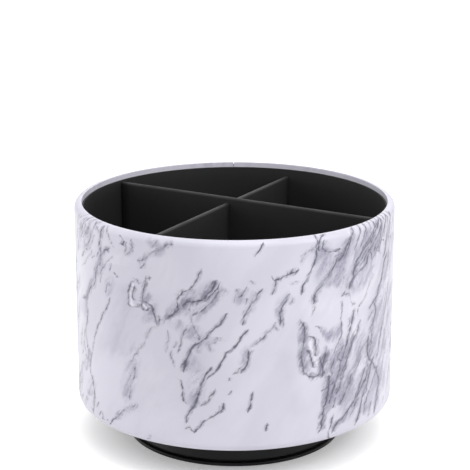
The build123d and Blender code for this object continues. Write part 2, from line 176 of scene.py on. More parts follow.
# Veins, each with its half width and its darkness first, then its points: millimetres to the right from the
# front line, and up from the barrel's lower edge
VEINS = {
    "left of the front, low and middle": (
        (1.0, 0.55, (-75.7, 78.7), (-79.7, 72.7), (-85, 65), (-91, 56), (-95, 45), (-100, 31), (-96, 22),
         (-95, 18), (-98, 6)),
        (1.2, 0.45, (-101.7, 61), (-104, 56), (-105, 51), (-103, 41), (-103, 33)),
        (1.0, 0.35, (-110.7, 51), (-113.7, 47), (-116, 38)),
        (0.9, 0.4, (-107.3, 52), (-107.8, 45), (-107.3, 38)),
        (1.5, 0.6, (-82.3, 118), (-83.7, 112), (-85, 107), (-84.3, 97.3), (-89.7, 92), (-91, 86),
         (-93, 81)),
        (1.7, 0.6, (-92.5, 83), (-97, 78), (-100.3, 74.7), (-105, 71.3), (-111, 68)),
        (1.2, 0.5, (-100.3, 75), (-101.7, 70), (-101.7, 64.7), (-103.5, 58)),
        (1.2, 0.6, (-75, 107), (-78, 105.5), (-82, 103), (-84, 100.5)),
        (0.9, 0.5, (-75, 99), (-76.3, 94)),
        (1.2, 0.45, (-83, 93.5), (-85.4, 85.5)),
        (1.5, 0.3, (-74, 89), (-77, 85.5), (-80, 81)),
        (1.0, 0.35, (-96, 119), (-98.3, 112), (-102.3, 108.7), (-108.3, 106.7), (-112, 104)),
        (1.0, 0.35, (-95, 105), (-98.3, 101.3), (-103, 100)),
        (1.5, 0.45, (-91.5, 119), (-89, 117), (-85, 114.5)),
        (1.6, 0.45, (-65.5, 16.5), (-68.5, 14), (-71.7, 11.3)),
        (0.9, 0.65, (-70.5, 12), (-75.7, 7.7), (-80, 3.5)),
        (0.9, 0.5, (-86, 8.5), (-86, 4.5), (-81, 6)),
        (1.2, 0.4, (-103, 12), (-109.3, 5.5)),
        (1.2, 0.4, (-113, 10.5), (-120, 5.5)),
        (1.4, 0.4, (-110, 32), (-117, 24.5)),
        (1.1, 0.8, (-64.2, 113.2), (-66.2, 111.3)),
    ),
    "drop with a pale core": (
        (1.0, 0.6, (-57, 92.5), (-60, 89.5), (-61.3, 84.7), (-62, 79.5), (-60.5, 77.3), (-56.3, 77.8),
         (-52.5, 79.8)),
        (1.1, 0.65, (-57, 90), (-58, 86), (-58.4, 83), (-56.8, 81.3), (-52.3, 81.6), (-49.5, 82.2)),
        (1.4, 0.35, (-56, 94), (-54, 92)),
        (1.3, 0.7, (-50, 94.5), (-50.7, 90.7), (-51.5, 84.7), (-51.3, 80.5)),
        (1.0, 0.75, (-51.5, 83), (-49.3, 81.8), (-46.3, 80.8), (-45.5, 77)),
        (0.8, 0.75, (-51.8, 80), (-51, 77), (-48.8, 76.8), (-47.5, 78.5)),
        (1.3, 0.65, (-46, 78.5), (-45, 75), (-44, 72.5), (-43.3, 70.3)),
        (1.0, 0.6, (-42.6, 75.5), (-42, 72), (-43, 69.5)),
        (1.6, 0.3, (-44.5, 70), (-47, 67.3), (-49, 63.5), (-50.5, 60)),
        (1.0, 0.35, (-50, 60.3), (-53, 56.3), (-57, 51), (-60.3, 46.7), (-64, 44.5)),
        (1.1, 0.5, (-50.2, 95.6), (-47, 96.3)),
    ),
    "great diagonal vein": (
        (1.6, 0.3, (-42, 71.6), (-40, 73.2), (-38, 74.5)),
        (1.7, 0.75, (-38.5, 74), (-35.5, 76), (-33, 78.2), (-30.3, 80.5), (-27.5, 82.6)),
        (0.8, 0.7, (-37.5, 75.6), (-34.5, 77.8), (-32, 79.5)),
        (1.7, 0.8, (-28.5, 82.5), (-26, 84.2), (-22, 85), (-18.5, 86.5), (-16, 88.8)),
        (2.1, 0.9, (-18.5, 86), (-15.7, 89.3), (-13, 92.3), (-11, 95.2), (-10, 98)),
        (1.5, 0.7, (-16.5, 86), (-13, 89.5), (-10, 92.6), (-7.5, 95.8)),
        (2.2, 0.5, (-23, 77), (-18.5, 80.5), (-15, 83.7), (-11, 87.5), (-8, 91.5), (-6, 94.5)),
        (1.2, 0.6, (-30, 80), (-30.5, 84), (-29.3, 88.3), (-26.5, 90.7), (-23.5, 92.7)),
        (1.6, 0.6, (-29.5, 87.8), (-26.5, 90.5), (-23, 92.8)),
        (0.9, 0.6, (-24.5, 92), (-21.7, 95), (-19.2, 99), (-17.4, 104)),
        (0.8, 0.35, (-25, 84), (-23.5, 78), (-22.3, 72.3), (-19.7, 66.8), (-18.8, 61)),
        (1.0, 0.55, (-26, 71.5), (-28, 66), (-29.6, 60.5), (-31, 55.5)),
        (1.0, 0.35, (-36, 68.5), (-37, 62), (-38.2, 54.5)),
        (0.9, 0.35, (-31.5, 63.5), (-34, 58)),
        (1.0, 0.75, (-4.7, 80.3), (-6.5, 76.5), (-8.5, 73.6), (-12.8, 70), (-15.5, 66.3), (-18.6, 63)),
        (1.3, 0.85, (-18.2, 63.5), (-21.3, 60.5), (-24, 56.5), (-26, 52.5), (-27.8, 45.5)),
        (1.4, 0.45, (-18.8, 63), (-19.3, 59), (-19.6, 56)),
        (1.5, 0.4, (-7.3, 64.7), (-9.5, 67), (-10.5, 63), (-13.3, 61.5), (-12, 57.5)),
        (1.0, 0.45, (-34.7, 57.5), (-34.7, 53.7), (-33, 51), (-32.7, 48)),
        (0.75, 0.85, (7.2, 71), (3.7, 65.5), (0.2, 61.3), (-3, 57.7), (-5.2, 54.7), (-8.3, 50.7),
         (-11.7, 46.7), (-14.6, 43)),
        (1.1, 0.75, (-12.7, 50), (-15.2, 46.6), (-17, 41.7), (-19, 35), (-21, 29.7), (-23.3, 24.3),
         (-25.8, 20.8), (-26.4, 16.5)),
        (0.75, 0.6, (-34.3, 42.3), (-30.3, 41.3), (-28.7, 37.7), (-27.7, 35.7), (-28, 31.7), (-26.5, 27.5)),
        (0.9, 0.7, (-9.7, 36.4), (-12.3, 33.3), (-14.5, 30.6), (-19.3, 26.4)),
        (0.95, 0.75, (-5.5, 29.3), (-7.7, 25), (-11, 22.3), (-14.3, 19.7), (-16.3, 18.2), (-18.3, 15),
         (-21.7, 10.8)),
        (0.9, 0.6, (-21.3, 11), (-23.5, 12), (-24.5, 13.8), (-27.5, 13)),
        (1.2, 0.4, (-57.7, 43.9), (-59, 37.7), (-61, 33), (-61.9, 23)),
        (1.7, 0.35, (-57, 23.3), (-60, 19.7), (-62.5, 16.6)),
        (0.7, 0.5, (-5, 41.5), (-3.5, 42), (-2.4, 43.8)),
        (0.7, 0.5, (-1.6, 36.6), (-2.4, 34.3)),
        (0.9, 0.3, (-47.5, 6.6), (-50.2, 2)),
    ),
    "near the rim, left of the front": (
        (1.3, 0.5, (-32.8, 116.4), (-36.3, 116), (-39.7, 113.3), (-43, 111.7), (-45.7, 109.3),
         (-49, 106.3), (-55.3, 105)),
        (1.2, 0.45, (-50.5, 103.6), (-53, 100.2)),
        (1.6, 0.4, (-57.5, 114.5), (-60, 109.3), (-63.3, 104.7)),
        (1.6, 0.3, (-43, 118), (-45, 113)),
    ),
    "right of the front, upper": (
        (0.9, 0.7, (15.3, 118.7), (12.9, 114.3), (10.7, 110.6)),
        (1.1, 0.75, (19, 100.3), (21.2, 97.4), (23.3, 97.7), (27, 100), (31, 101.3), (34.5, 102.8)),
        (1.2, 0.6, (22.3, 98), (21.3, 94.7), (19.8, 89)),
        (1.6, 0.35, (34, 105.5), (36.3, 108.3), (40.3, 110.9), (45.3, 111.9)),
        (0.9, 0.75, (46, 112.3), (45, 109.3), (43, 104), (41, 99.3), (39, 94.7), (36.5, 87.6)),
        (1.7, 0.75, (47.5, 117), (46.8, 114), (47.3, 111.3)),
        (1.5, 0.65, (50.5, 117), (50, 113), (51.2, 109.8), (56.3, 108.2), (60, 110.2)),
        (1.0, 0.5, (47.4, 116), (49, 118), (51.9, 120.5)),
        (1.5, 0.7, (60, 103.5), (55, 99.3), (52.3, 96), (50.3, 94.3), (47, 89.3), (44.7, 86), (43.6, 81.3)),
        (1.1, 0.35, (43.8, 82), (44, 78.7), (42.9, 74)),
        (1.2, 0.6, (30, 89.7), (27.7, 86), (26, 82), (24.3, 78), (24.2, 72.3)),
        (0.9, 0.5, (27, 85), (25.5, 80), (25.7, 75), (25.5, 71)),
        (1.3, 0.45, (21.5, 74.3), (19.7, 70.7), (17, 68.7), (15, 65.7), (11.7, 62.7), (7.4, 59.8)),
        (1.1, 0.6, (22, 71.5), (22.6, 69.8)),
        (1.6, 0.35, (31, 87.5), (30.2, 83.6)),
        (1.9, 0.35, (33.5, 96.5), (32, 94)),
        (1.3, 0.55, (15.2, 94.3), (12.3, 90.7), (11, 86.7), (8, 83.3), (6, 79.3), (4.8, 73.6)),
        (1.1, 0.4, (2.2, 94.4), (0.3, 88.7), (-0.8, 85.7)),
        (1.1, 0.5, (6.4, 94.3), (4.3, 90.5), (2.2, 88)),
        (1.1, 0.35, (9, 97.6), (9.7, 95.6)),
        (1.3, 0.45, (6.8, 87.7), (6.3, 85.5)),
    ),
    "right of the front, lower": (
        (1.2, 0.75, (7.3, 60.3), (7, 55), (6, 50.7), (3.7, 46.3)),
        (1.0, 0.6, (9.6, 59.5), (7.6, 55.4)),
        (0.9, 0.45, (3.9, 50), (-0.2, 45.4)),
        (0.9, 0.7, (9.5, 35.8), (8.3, 31), (7.7, 27.7), (6.6, 23.8)),
        (0.8, 0.7, (18.2, 17.2), (16.1, 11.9)),
        (2.0, 0.75, (35.9, 73.6), (38, 70.3), (38.5, 66.5), (38, 61), (37.2, 55), (37.7, 49), (39, 43.7),
         (41.7, 41.2)),
        (1.5, 0.8, (41, 41.8), (45, 40.8), (48, 41.2)),
        (1.2, 0.7, (39.5, 64.3), (43, 62.7), (44.9, 60), (45.3, 57), (46.3, 52.3), (48.5, 51.5)),
        (1.0, 0.7, (40.2, 57.6), (43, 52.3), (43.9, 46.3), (47.2, 44.8)),
        (2.3, 0.95, (51.8, 53), (50.6, 47), (49.4, 39)),
        (1.6, 0.8, (48.2, 51), (49.5, 45.5), (51.8, 40)),
        (1.7, 0.85, (53.7, 39.5), (54.3, 31), (53.7, 25), (51.7, 21), (50.3, 14.3), (49.7, 9), (48, 7.2)),
        (0.9, 0.6, (53.8, 33), (49.4, 31.5)),
        (0.9, 0.5, (47, 68.7), (48, 67.8)),
        (1.0, 0.6, (57.3, 15.6), (56, 8.3), (55, 5), (59.3, -2.5)),
        (0.9, 0.4, (60.2, 10.2), (57.8, 5.2)),
    ),
    "right side": (
        (1.3, 0.45, (63.3, 61.5), (59.3, 55.7), (56, 49.6)),
        (1.3, 0.6, (77, 61.3), (71, 55.7), (69, 49.7), (67.7, 46.3), (64.3, 41), (61.7, 33.8)),
        (1.2, 0.45, (73, 60.6), (69.1, 55.3)),
        (2.2, 0.4, (85.3, 54.2), (81.7, 49), (77, 43), (72.3, 36.3), (66.6, 30.4)),
        (1.3, 0.8, (86.3, 54.8), (86, 47.7), (87.7, 41), (91, 37), (95, 32.3), (97.7, 28.3),
         (100.4, 24), (99, 19.7), (95, 5.5)),
        (1.2, 0.65, (91.5, 59.4), (89.7, 53.7), (88.2, 43.8)),
        (1.3, 0.45, (104.5, 59.4), (101.7, 53), (99, 44.3), (95.4, 37.2)),
        (1.4, 0.7, (79.9, 29.5), (77, 23.7), (74.3, 18.3), (68.3, 15), (63.7, 11.7), (61.5, 10.1),
         (58, 5.8)),
        (1.2, 0.5, (84, 26.8), (85.3, 22.3), (81.7, 20.3), (80.3, 14.3), (79.7, 10.3), (77, 8.3),
         (75.6, 3.8)),
        (1.1, 0.4, (91.2, 14.8), (88, 5.8)),
        (1.5, 0.35, (108.5, 11), (107, 7)),
        (2.0, 0.85, (68.6, 116), (65, 110), (63, 106), (59, 102.7), (56, 101.2)),
        (1.2, 0.6, (91.3, 111), (85.7, 107.3), (81.7, 103.3), (77, 99.5), (72, 97)),
        (1.1, 0.6, (80.9, 108.8), (77, 103.3), (73, 100.7), (71, 95.6)),
        (1.3, 0.75, (88.5, 103), (83.7, 101.3), (82.7, 97.3), (79, 94.7), (73, 92), (68.7, 88.7),
         (67.6, 84.8)),
        (1.2, 0.35, (100.6, 115.2), (97, 108.7), (91.4, 102.9)),
        (1.1, 0.35, (92, 111.6), (98, 119.5)),
        (1.4, 0.8, (107.9, 96.4), (104.3, 92), (101.7, 85.3), (97, 79.3), (93, 74), (84.6, 70.4)),
        (1.3, 0.8, (90.9, 72.4), (94.3, 67.3), (92.3, 62.7), (91, 60), (87.4, 58)),
        (1.2, 0.3, (89.9, 90.4), (84.3, 82), (79.7, 76), (74.8, 71.6)),
        (0.8, 0.5, (62.3, 81), (62.2, 68.7), (63, 60.7), (60.8, 58.3)),
        (1.0, 0.45, (63, 84.2), (69.3, 81.3), (70.3, 77.3), (74.6, 75.8)),
        (0.9, 0.55, (73.1, 73.6), (71.1, 68.4)),
        (1.2, 0.4, (69, 70.4), (68, 63.6)),
        (2.0, 0.3, (77.5, 63.8), (74, 57.5)),
    ),
    "strands low on the right": (
        (1.6, 0.75, (69.5, 53), (68.8, 49), (66.5, 46.5)),
        (1.2, 0.5, (66, 37), (63, 34), (60.5, 30.5), (58, 27)),
        (2.2, 0.6, (72, 36), (69.5, 31.5), (66, 27), (62, 20)),
        (1.2, 0.65, (59.5, 25.5), (58, 21.5), (56.5, 19)),
        (1.0, 0.6, (57.5, 35), (55.5, 33.5)),
        (0.8, 0.75, (61.3, 47), (62.6, 45.8)),
        (1.6, 0.55, (84, 37.5), (80.5, 31), (77.5, 26.5)),
        (1.6, 0.7, (75.5, 24.5), (73.5, 19), (71, 15.5)),
        (1.2, 0.6, (78, 20.5), (75.5, 17.5), (72.5, 14.5)),
        (0.9, 0.6, (88.3, 59), (87.3, 56)),
        (1.2, 0.5, (86.5, 38), (87.5, 33), (90, 30.5)),
        (1.4, 0.45, (97.5, 14), (95.3, 5)),
        (1.3, 0.4, (101, 18), (98, 11)),
        (1.1, 0.55, (58, 48), (56, 43), (55.5, 38)),
        (1.0, 0.5, (64.5, 55), (61.5, 50), (60, 45.5)),
        (1.0, 0.5, (61.5, 41), (59.5, 36), (58.5, 30)),
        (1.2, 0.45, (80.5, 45.5), (77, 40), (74.5, 34)),
        (1.0, 0.45, (92.5, 47), (90, 42), (88.5, 38.5)),
        (1.1, 0.4, (109, 54), (106, 46), (103.5, 40)),
    ),
    "strands high on the right": (
        (1.0, 0.65, (67, 113.5), (64, 110), (62, 106.5)),
        (0.9, 0.5, (61.5, 108.5), (58, 105.5)),
        (1.1, 0.65, (87.5, 106.5), (82.5, 102), (79, 98), (76.5, 96)),
        (0.9, 0.6, (84.5, 105), (88, 101), (87, 97.5)),
        (1.4, 0.6, (90.5, 107), (86, 103.5), (82, 102.5)),
        (1.0, 0.55, (95, 108), (92.5, 105), (90.5, 102)),
        (1.3, 0.6, (98.5, 115), (97.5, 110), (95.5, 105), (95, 102)),
        (0.8, 0.6, (98.8, 106.7), (102, 105.6)),
        (0.9, 0.5, (99, 98.5), (95.5, 100.8), (92.5, 101)),
        (1.3, 0.65, (95.5, 76), (93.5, 73), (91.5, 70.5)),
        (0.9, 0.6, (91.5, 74.5), (88, 71.7), (85, 70)),
        (1.2, 0.5, (111, 96.5), (110.2, 88)),
        (1.2, 0.5, (91, 69.5), (88, 66), (86, 63.5)),
        (0.8, 0.5, (76, 72.8), (75.4, 69.3)),
        (0.8, 0.6, (80, 76.2), (76.5, 74)),
        (0.8, 0.6, (63.8, 85.2), (62.6, 83)),
        (0.9, 0.5, (85, 113.7), (87.5, 112), (90.3, 111.4)),
        (1.2, 0.4, (107, 106), (113, 105), (118, 103)),
        (1.1, 0.45, (83, 116.5), (80.5, 112), (77.5, 108)),
        (1.2, 0.4, (75.5, 115), (73.5, 110), (72.5, 105)),
        (1.2, 0.45, (106, 117), (103.5, 111), (101.5, 107)),
        (1.2, 0.5, (104.5, 91), (101.5, 84), (98, 79.5)),
    ),
    "long strands on the right": (
        (1.3, 0.85, (98.7, 119.3), (93, 114.5), (88.7, 111), (83, 107.5), (78.7, 104.3), (75.5, 101.5),
         (73.7, 99.3), (71.5, 94.5), (70.3, 91)),
        (1.0, 0.7, (101.5, 117), (96, 112), (91, 107.5), (86, 104.5), (81, 101)),
        (1.0, 0.75, (94.5, 119), (89, 114), (84, 110), (79.5, 106)),
        (0.9, 0.65, (109, 120), (103, 113), (98, 107), (92, 101.5), (87, 97)),
        (1.1, 0.65, (116, 119), (110, 110), (106, 102), (103, 95)),
        (1.5, 0.8, (90.3, 37.7), (82, 27.7), (73.7, 19.3), (66, 13.5), (62, 11), (58.7, 6)),
        (1.2, 0.75, (92, 40), (87.5, 31), (84.5, 25), (81, 18), (79, 11), (76.5, 5)),
        (1.4, 0.65, (97.5, 33), (93, 27), (88.5, 21.5), (85, 15), (83.5, 8)),
        (1.2, 0.7, (72, 72.7), (69, 62), (65.3, 51), (62.8, 44), (60.3, 37.7), (57.5, 30), (55.3, 22.7)),
        (1.0, 0.65, (77.5, 66), (73.5, 58), (70, 50), (66.5, 42.5), (63, 35), (59.5, 27)),
        (1.1, 0.6, (113, 78), (108, 66), (104, 56), (101, 48)),
    ),
    "strands over the rim on the right": (
        (0.9, 0.6, (79.5, 127), (77.5, 121), (75.5, 114), (72, 107)),
        (0.8, 0.65, (84, 127), (82.5, 120), (80, 113), (77, 107)),
        (0.8, 0.5, (88.5, 128), (87, 120), (84.5, 113)),
        (0.9, 0.7, (92.5, 128), (91.5, 120), (89, 113), (85.5, 107)),
        (0.8, 0.5, (96.5, 128), (95.5, 120), (93.5, 111)),
        (0.9, 0.65, (100.5, 128), (100, 119), (98, 109), (95.5, 100)),
        (0.8, 0.5, (104.5, 127), (104, 117), (102.5, 107)),
        (0.9, 0.6, (109, 127), (108.5, 116), (107, 104), (105, 96)),
        (0.8, 0.5, (114, 125), (113, 114), (111.5, 103)),
        (1.2, 0.7, (71.5, 121), (69.5, 116.5), (67.5, 111), (66, 107)),
        (1.1, 0.6, (46, 121), (46.3, 117), (45.5, 112)),
    ),
    "strands high on the left": (
        (1.2, 0.5, (-106, 98.5), (-109, 94)),
        (1.3, 0.4, (-113, 118), (-116, 110), (-120, 102)),
        (1.2, 0.4, (-103, 119), (-108, 109), (-113, 103)),
        (1.0, 0.55, (-97.3, 114.5), (-99.7, 110)),
        (1.0, 0.45, (-101, 116), (-105, 110), (-109, 106.5)),
        (1.3, 0.4, (-115.5, 100.5), (-120, 94.5)),
        (0.9, 0.5, (-82, 118), (-80.5, 115.7)),
        (1.1, 0.55, (-84, 116), (-84.5, 110), (-86.7, 105)),
        (0.8, 0.5, (-87, 103), (-88.3, 100)),
        (1.0, 0.45, (-94.5, 98), (-91, 99.7)),
        (1.0, 0.4, (-77.5, 87.5), (-80.7, 80)),
        (0.9, 0.4, (-72.3, 94), (-69.7, 91.7)),
        (1.0, 0.5, (-104, 99.5), (-106.5, 95)),
    ),
    "strands over the rim on the left": (
        (0.8, 0.45, (-90, 127), (-94, 119), (-99, 113), (-105, 107), (-111, 104)),
        (0.8, 0.4, (-95, 127), (-99, 120), (-105, 114), (-111, 110), (-118, 107)),
        (0.8, 0.45, (-86, 124), (-90, 117), (-95, 110), (-100, 104), (-106, 100)),
        (0.8, 0.35, (-101, 127), (-106, 120), (-112, 116), (-119, 113)),
        (0.8, 0.35, (-90, 112), (-94, 106), (-99, 100), (-105, 96)),
        (0.8, 0.35, (-94, 103), (-98, 97), (-103, 92), (-109, 88)),
        (0.9, 0.4, (-79, 120), (-77.5, 115.5), (-74.5, 111), (-71.5, 108)),
        (0.8, 0.45, (-67, 116), (-65, 113.5), (-63, 110.5), (-64, 107)),
        (0.9, 0.35, (-59, 116), (-58, 111), (-60.5, 107)),
        (0.8, 0.35, (-73, 104), (-76, 101), (-80, 98), (-83, 93)),
    ),
    "strands low on the left": (
        (2.2, 0.4, (-105.5, 36.5), (-102, 33)),
        (1.0, 0.5, (-96.8, 27.5), (-98.7, 24)),
        (1.0, 0.45, (-99.5, 7), (-96.7, 4.5)),
        (1.0, 0.5, (-87.7, 8.8), (-90.3, 5.7)),
        (1.1, 0.4, (-105.5, 12), (-110, 6.5)),
        (1.2, 0.4, (-89.7, 14.5), (-93, 9.7)),
        (1.0, 0.35, (-108, 46), (-111, 40), (-113, 34)),
    ),
}
# Pale cores inside veins, given like them, and three kinds of soft fields
PALE_VEINS = (
    (1.7, 1.0, (-58, 90), (-59.3, 86), (-60.2, 81.5), (-58.8, 78.6)),
    (1.2, 0.9, (-50, 79.6), (-48.8, 78)),
    (0.9, 0.6, (-36.6, 74.8), (-35.2, 75.4)),
    (1.2, 0.9, (41.7, 60.2), (43.7, 54.3), (45.2, 48.3)),
    (1.0, 0.7, (67.3, 118), (67.9, 116)),
    (1.0, 0.6, (48.5, 115.5), (49, 113.5)),
)
# Grey smoke round the veins
HAZES = (
    # left edge
    (5, 0.5, (-100, 44), (-103.5, 36), (-108, 26)),
    (7, 0.4, (-96, 116), (-101, 106), (-108, 97)),
    (6, 0.45, (-108, 116), (-112, 104), (-118, 94)),
    (4, 0.45, (-92, 90), (-99, 78), (-104, 68), (-103, 56)),
    (6, 0.35, (-96, 26), (-104, 12)),
    (7, 0.3, (-84, 110), (-86, 96), (-90, 86)),
    (5, 0.35, (-74, 92), (-80, 78)),
    # broad grey field between the left veins and the drop
    (20, 0.08, (-56, 94), (-62, 78), (-70, 62), (-76, 40)),
    (6, 0.4, (-48, 90), (-47, 76), (-52, 68)),
    (7, 0.3, (-57, 58), (-62, 36), (-66, 18)),
    (5, 0.3, (-62, 20), (-74, 8)),
    # round the great diagonal vein
    (6, 0.4, (-42, 72), (-30, 82), (-18, 90), (-8, 98)),
    (6, 0.4, (-28, 78), (-16, 82), (-6, 92)),
    (7, 0.35, (-32, 76), (-20, 66), (-12, 60)),
    (6, 0.3, (-48, 119), (-42, 112), (-54, 104)),
    (7, 0.3, (-26, 60), (-20, 42), (-24, 22)),
    (4, 0.3, (6, 94), (2, 84)),
    (4, 0.3, (10, 92), (8, 80)),
    (4, 0.35, (7, 62), (4, 50)),
    # grey field high on the right
    (9, 0.5, (49, 114), (52, 100), (54, 88)),
    (9, 0.5, (68, 112), (60, 100), (62, 86)),
    (4, 0.35, (29, 92), (25, 82), (24, 72)),
    (6, 0.5, (92, 112), (82, 103), (72, 94)),
    (7, 0.5, (100, 116), (94, 106), (86, 98)),
    (6, 0.5, (84, 116), (76, 106), (70, 96)),
    (7, 0.4, (114, 116), (108, 106), (102, 100)),
    (5, 0.35, (112, 112), (104, 104)),
    # grey structure low on the right
    (3.5, 0.8, (37, 72), (38.5, 56), (41, 45), (48, 41)),
    (5, 0.85, (52, 58), (51, 44), (54, 30), (52, 14)),
    (7, 0.8, (64, 60), (60, 46), (58, 34), (60, 20)),
    (5, 0.6, (47, 68), (56, 62), (64, 66)),
    (7, 0.8, (67, 60), (63, 48), (60, 36), (62, 20)),
    (5, 0.7, (56, 54), (56, 38), (57, 22)),
    (4, 0.6, (90, 54), (86, 42), (80, 32)),
    (6, 0.4, (104, 60), (98, 44), (94, 34)),
    (6, 0.4, (96, 20), (88, 8)),
    (6, 0.5, (76, 24), (70, 14), (62, 8)),
    (18, 0.4, (122, 118), (112, 96), (102, 72), (94, 52)),
    (18, 0.4, (122, 78), (110, 48), (98, 12)),
    (16, 0.35, (98, 118), (84, 98), (72, 80)),
    (14, 0.3, (84, 62), (74, 40), (66, 18)),
    (16, 0.4, (82, 118), (74, 92), (60, 84)),
    (16, 0.4, (98, 60), (84, 36), (70, 8)),
    (5, 0.5, (76, 60), (68, 50), (64, 36)),
    (5, 0.6, (84, 54), (74, 40), (64, 26)),
    (5, 0.6, (86, 40), (76, 26), (72, 18)),
    (4, 0.5, (88, 56), (87, 44), (92, 34), (100, 26)),
    (4, 0.5, (94, 72), (92, 62), (88, 54)),
    (4, 0.45, (106, 94), (100, 82), (92, 73)),
    (4, 0.4, (100, 22), (98, 8)),
    (4, 0.4, (81, 18), (77, 6)),
    (4, 0.3, (103, 56), (98, 40)),
)
# Broad, smooth grey
VEILS = (
    (13, 0.75, (47, 118), (50, 104), (52, 88)),
    (14, 0.3, (26, 62), (30, 40), (34, 16)),
    (13, 0.75, (68, 118), (62, 104), (58, 88)),
    (12, 0.6, (92, 120), (86, 108), (78, 96)),
    (15, 0.5, (-58, 92), (-66, 70), (-76, 44)),
    (12, 0.4, (-98, 84), (-106, 64), (-108, 42)),
    (13, 0.55, (102, 38), (94, 22), (86, 6)),
    (9, 0.6, (64, 44), (66, 30), (64, 18)),
    (10, 0.4, (-20, 74), (-18, 56), (-26, 42)),
)
# Broad, paler stone; the first two, along the left edge, are partly print and partly painted light there
PALE_STONE_AND_LEFT_EDGE_LIGHT = (
    # along the left edge: paler stone and painted light
    (18, 0.6, (-110, 100), (-112, 82), (-116, 64)),
    (12, 0.5, (-112, 62), (-114, 46)),
    (16, 0.25, (-44, 118), (-38, 100), (-36, 84)),
    (9, 0.4, (-66, 106), (-76, 98)),
    (13, 0.45, (34, 82), (48, 78), (64, 80)),
    (11, 0.6, (94, 92), (82, 82), (72, 70)),
    (6, 0.6, (76, 66), (72, 56)),
    (8, 0.5, (84, 46), (76, 34)),
    (10, 0.4, (112, 96), (108, 76), (104, 62)),
    (18, 0.25, (-48, 54), (-44, 28), (-50, 4)),
    (9, 0.4, (110, 50), (108, 30)),
)
# Those four, with the length over which their ends thin away
SOFT_FIELDS = {
    "pale veins": (PALE_VEINS, 1.5),
    "hazes": (HAZES, 12.0),
    "pale stone and left edge light": (PALE_STONE_AND_LEFT_EDGE_LIGHT, 16.0),
    "veils": (VEILS, 12.0),
}

# Light
AMBIENT = 0.5
RIGHT_LAMP = 3.5
FRONT_LAMP = 1.9
LEFT_LAMP = 3.3
TOP_LAMP = 5.0
BACK_LAMP = 1.6
LAMP_AIM = Vector((0, 0, 0.08))
# Between these radii the floor's glow grows: the floor round the object stays darker, partly real shadow,
# partly painted shadow
PAINTED_SHADOW_RADII = (66 * MM, 118 * MM)
FLOOR_GLOW = (0.26, 0.7)
FLOOR_RADIUS = 4.0


# Meshes

def arc(centre, radius, start, end, steps):
    """Points on a circle in the section plane, between two angles in degrees."""
    turn = [radians(start + (end - start) * step / steps) for step in range(steps + 1)]
    return [(centre[0] + radius * cos(a), centre[1] + radius * sin(a)) for a in turn]


def run(start, end, steps):
    """Points inside a straight run of a section, without its ends."""
    return [
        (start[0] + (end[0] - start[0]) * step / steps, start[1] + (end[1] - start[1]) * step / steps)
        for step in range(1, steps)
    ]


def in_metres(points):
    """Points of a section given in millimetres."""
    return [(r * MM, z * MM) for r, z in points]


def verts_of(geom):
    """The vertices among what an operator has made."""
    return [item for item in geom if isinstance(item, bmesh.types.BMVert)]


def spin(bm, verts, edges, sweep, steps, **options):
    """Turns edges about Z."""
    bmesh.ops.spin(
        bm, geom=verts + edges, cent=(0, 0, 0), axis=(0, 0, 1), angle=sweep, steps=steps, **options
    )


def close_ends(bm):
    """Fills every open loop of edges with a face."""
    bmesh.ops.edgeloop_fill(bm, edges=[e for e in bm.edges if e.is_boundary])


def spun(bm, outline, start, sweep, steps):
    """Turns a closed outline of (radius, height) points about Z, with a face at either end."""
    verts = [bm.verts.new((r * cos(start), r * sin(start), z)) for r, z in outline]
    edges = [bm.edges.new((verts[i - 1], verts[i])) for i in range(len(verts))]
    spin(bm, verts, edges, sweep, steps)
    close_ends(bm)


def turned(bm, chain, steps=64, centre=(0, 0, 0)):
    """Turns an open chain of (radius, height) points, from the axis back to the axis, into a closed solid."""
    verts = [bm.verts.new((r, 0, z)) for r, z in chain]
    edges = [bm.edges.new(pair) for pair in zip(verts, verts[1:])]
    spin(bm, verts, edges, 2 * pi, steps, use_merge=True)
    bmesh.ops.remove_doubles(bm, verts=bm.verts, dist=MERGE)
    bmesh.ops.translate(bm, verts=bm.verts, vec=centre)


def placed(name, data):
    """An object with that data, in the scene."""
    holder = bpy.data.objects.new(name, data)
    bpy.context.scene.collection.objects.link(holder)
    return holder


def finished(bm, name, body, slot, replaced, wall=0.0):
    """The piece that a mesh makes, riding on its body; an open sheet gets a wall behind its upper face."""
    bmesh.ops.recalc_face_normals(bm, faces=bm.faces)
    if wall:
        highest = max(bm.faces, key=lambda face: face.calc_center_median().z)
        if highest.normal.z < 0:
            bmesh.ops.reverse_faces(bm, faces=bm.faces)
    mesh = bpy.data.meshes.new(name)
    bm.to_mesh(mesh)
    bm.free()
    piece = placed(name, mesh)
    mesh.shade_smooth()
    mesh.set_sharp_from_angle(angle=SMOOTH_ANGLE)
    mesh.materials.append(FINISHES[slot])
    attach(piece, body)
    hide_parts(*replaced)
    if wall:
        thicken = piece.modifiers.new("wall", "SOLIDIFY")
        thicken.thickness = wall
        thicken.offset = -1
        thicken.use_even_offset = True


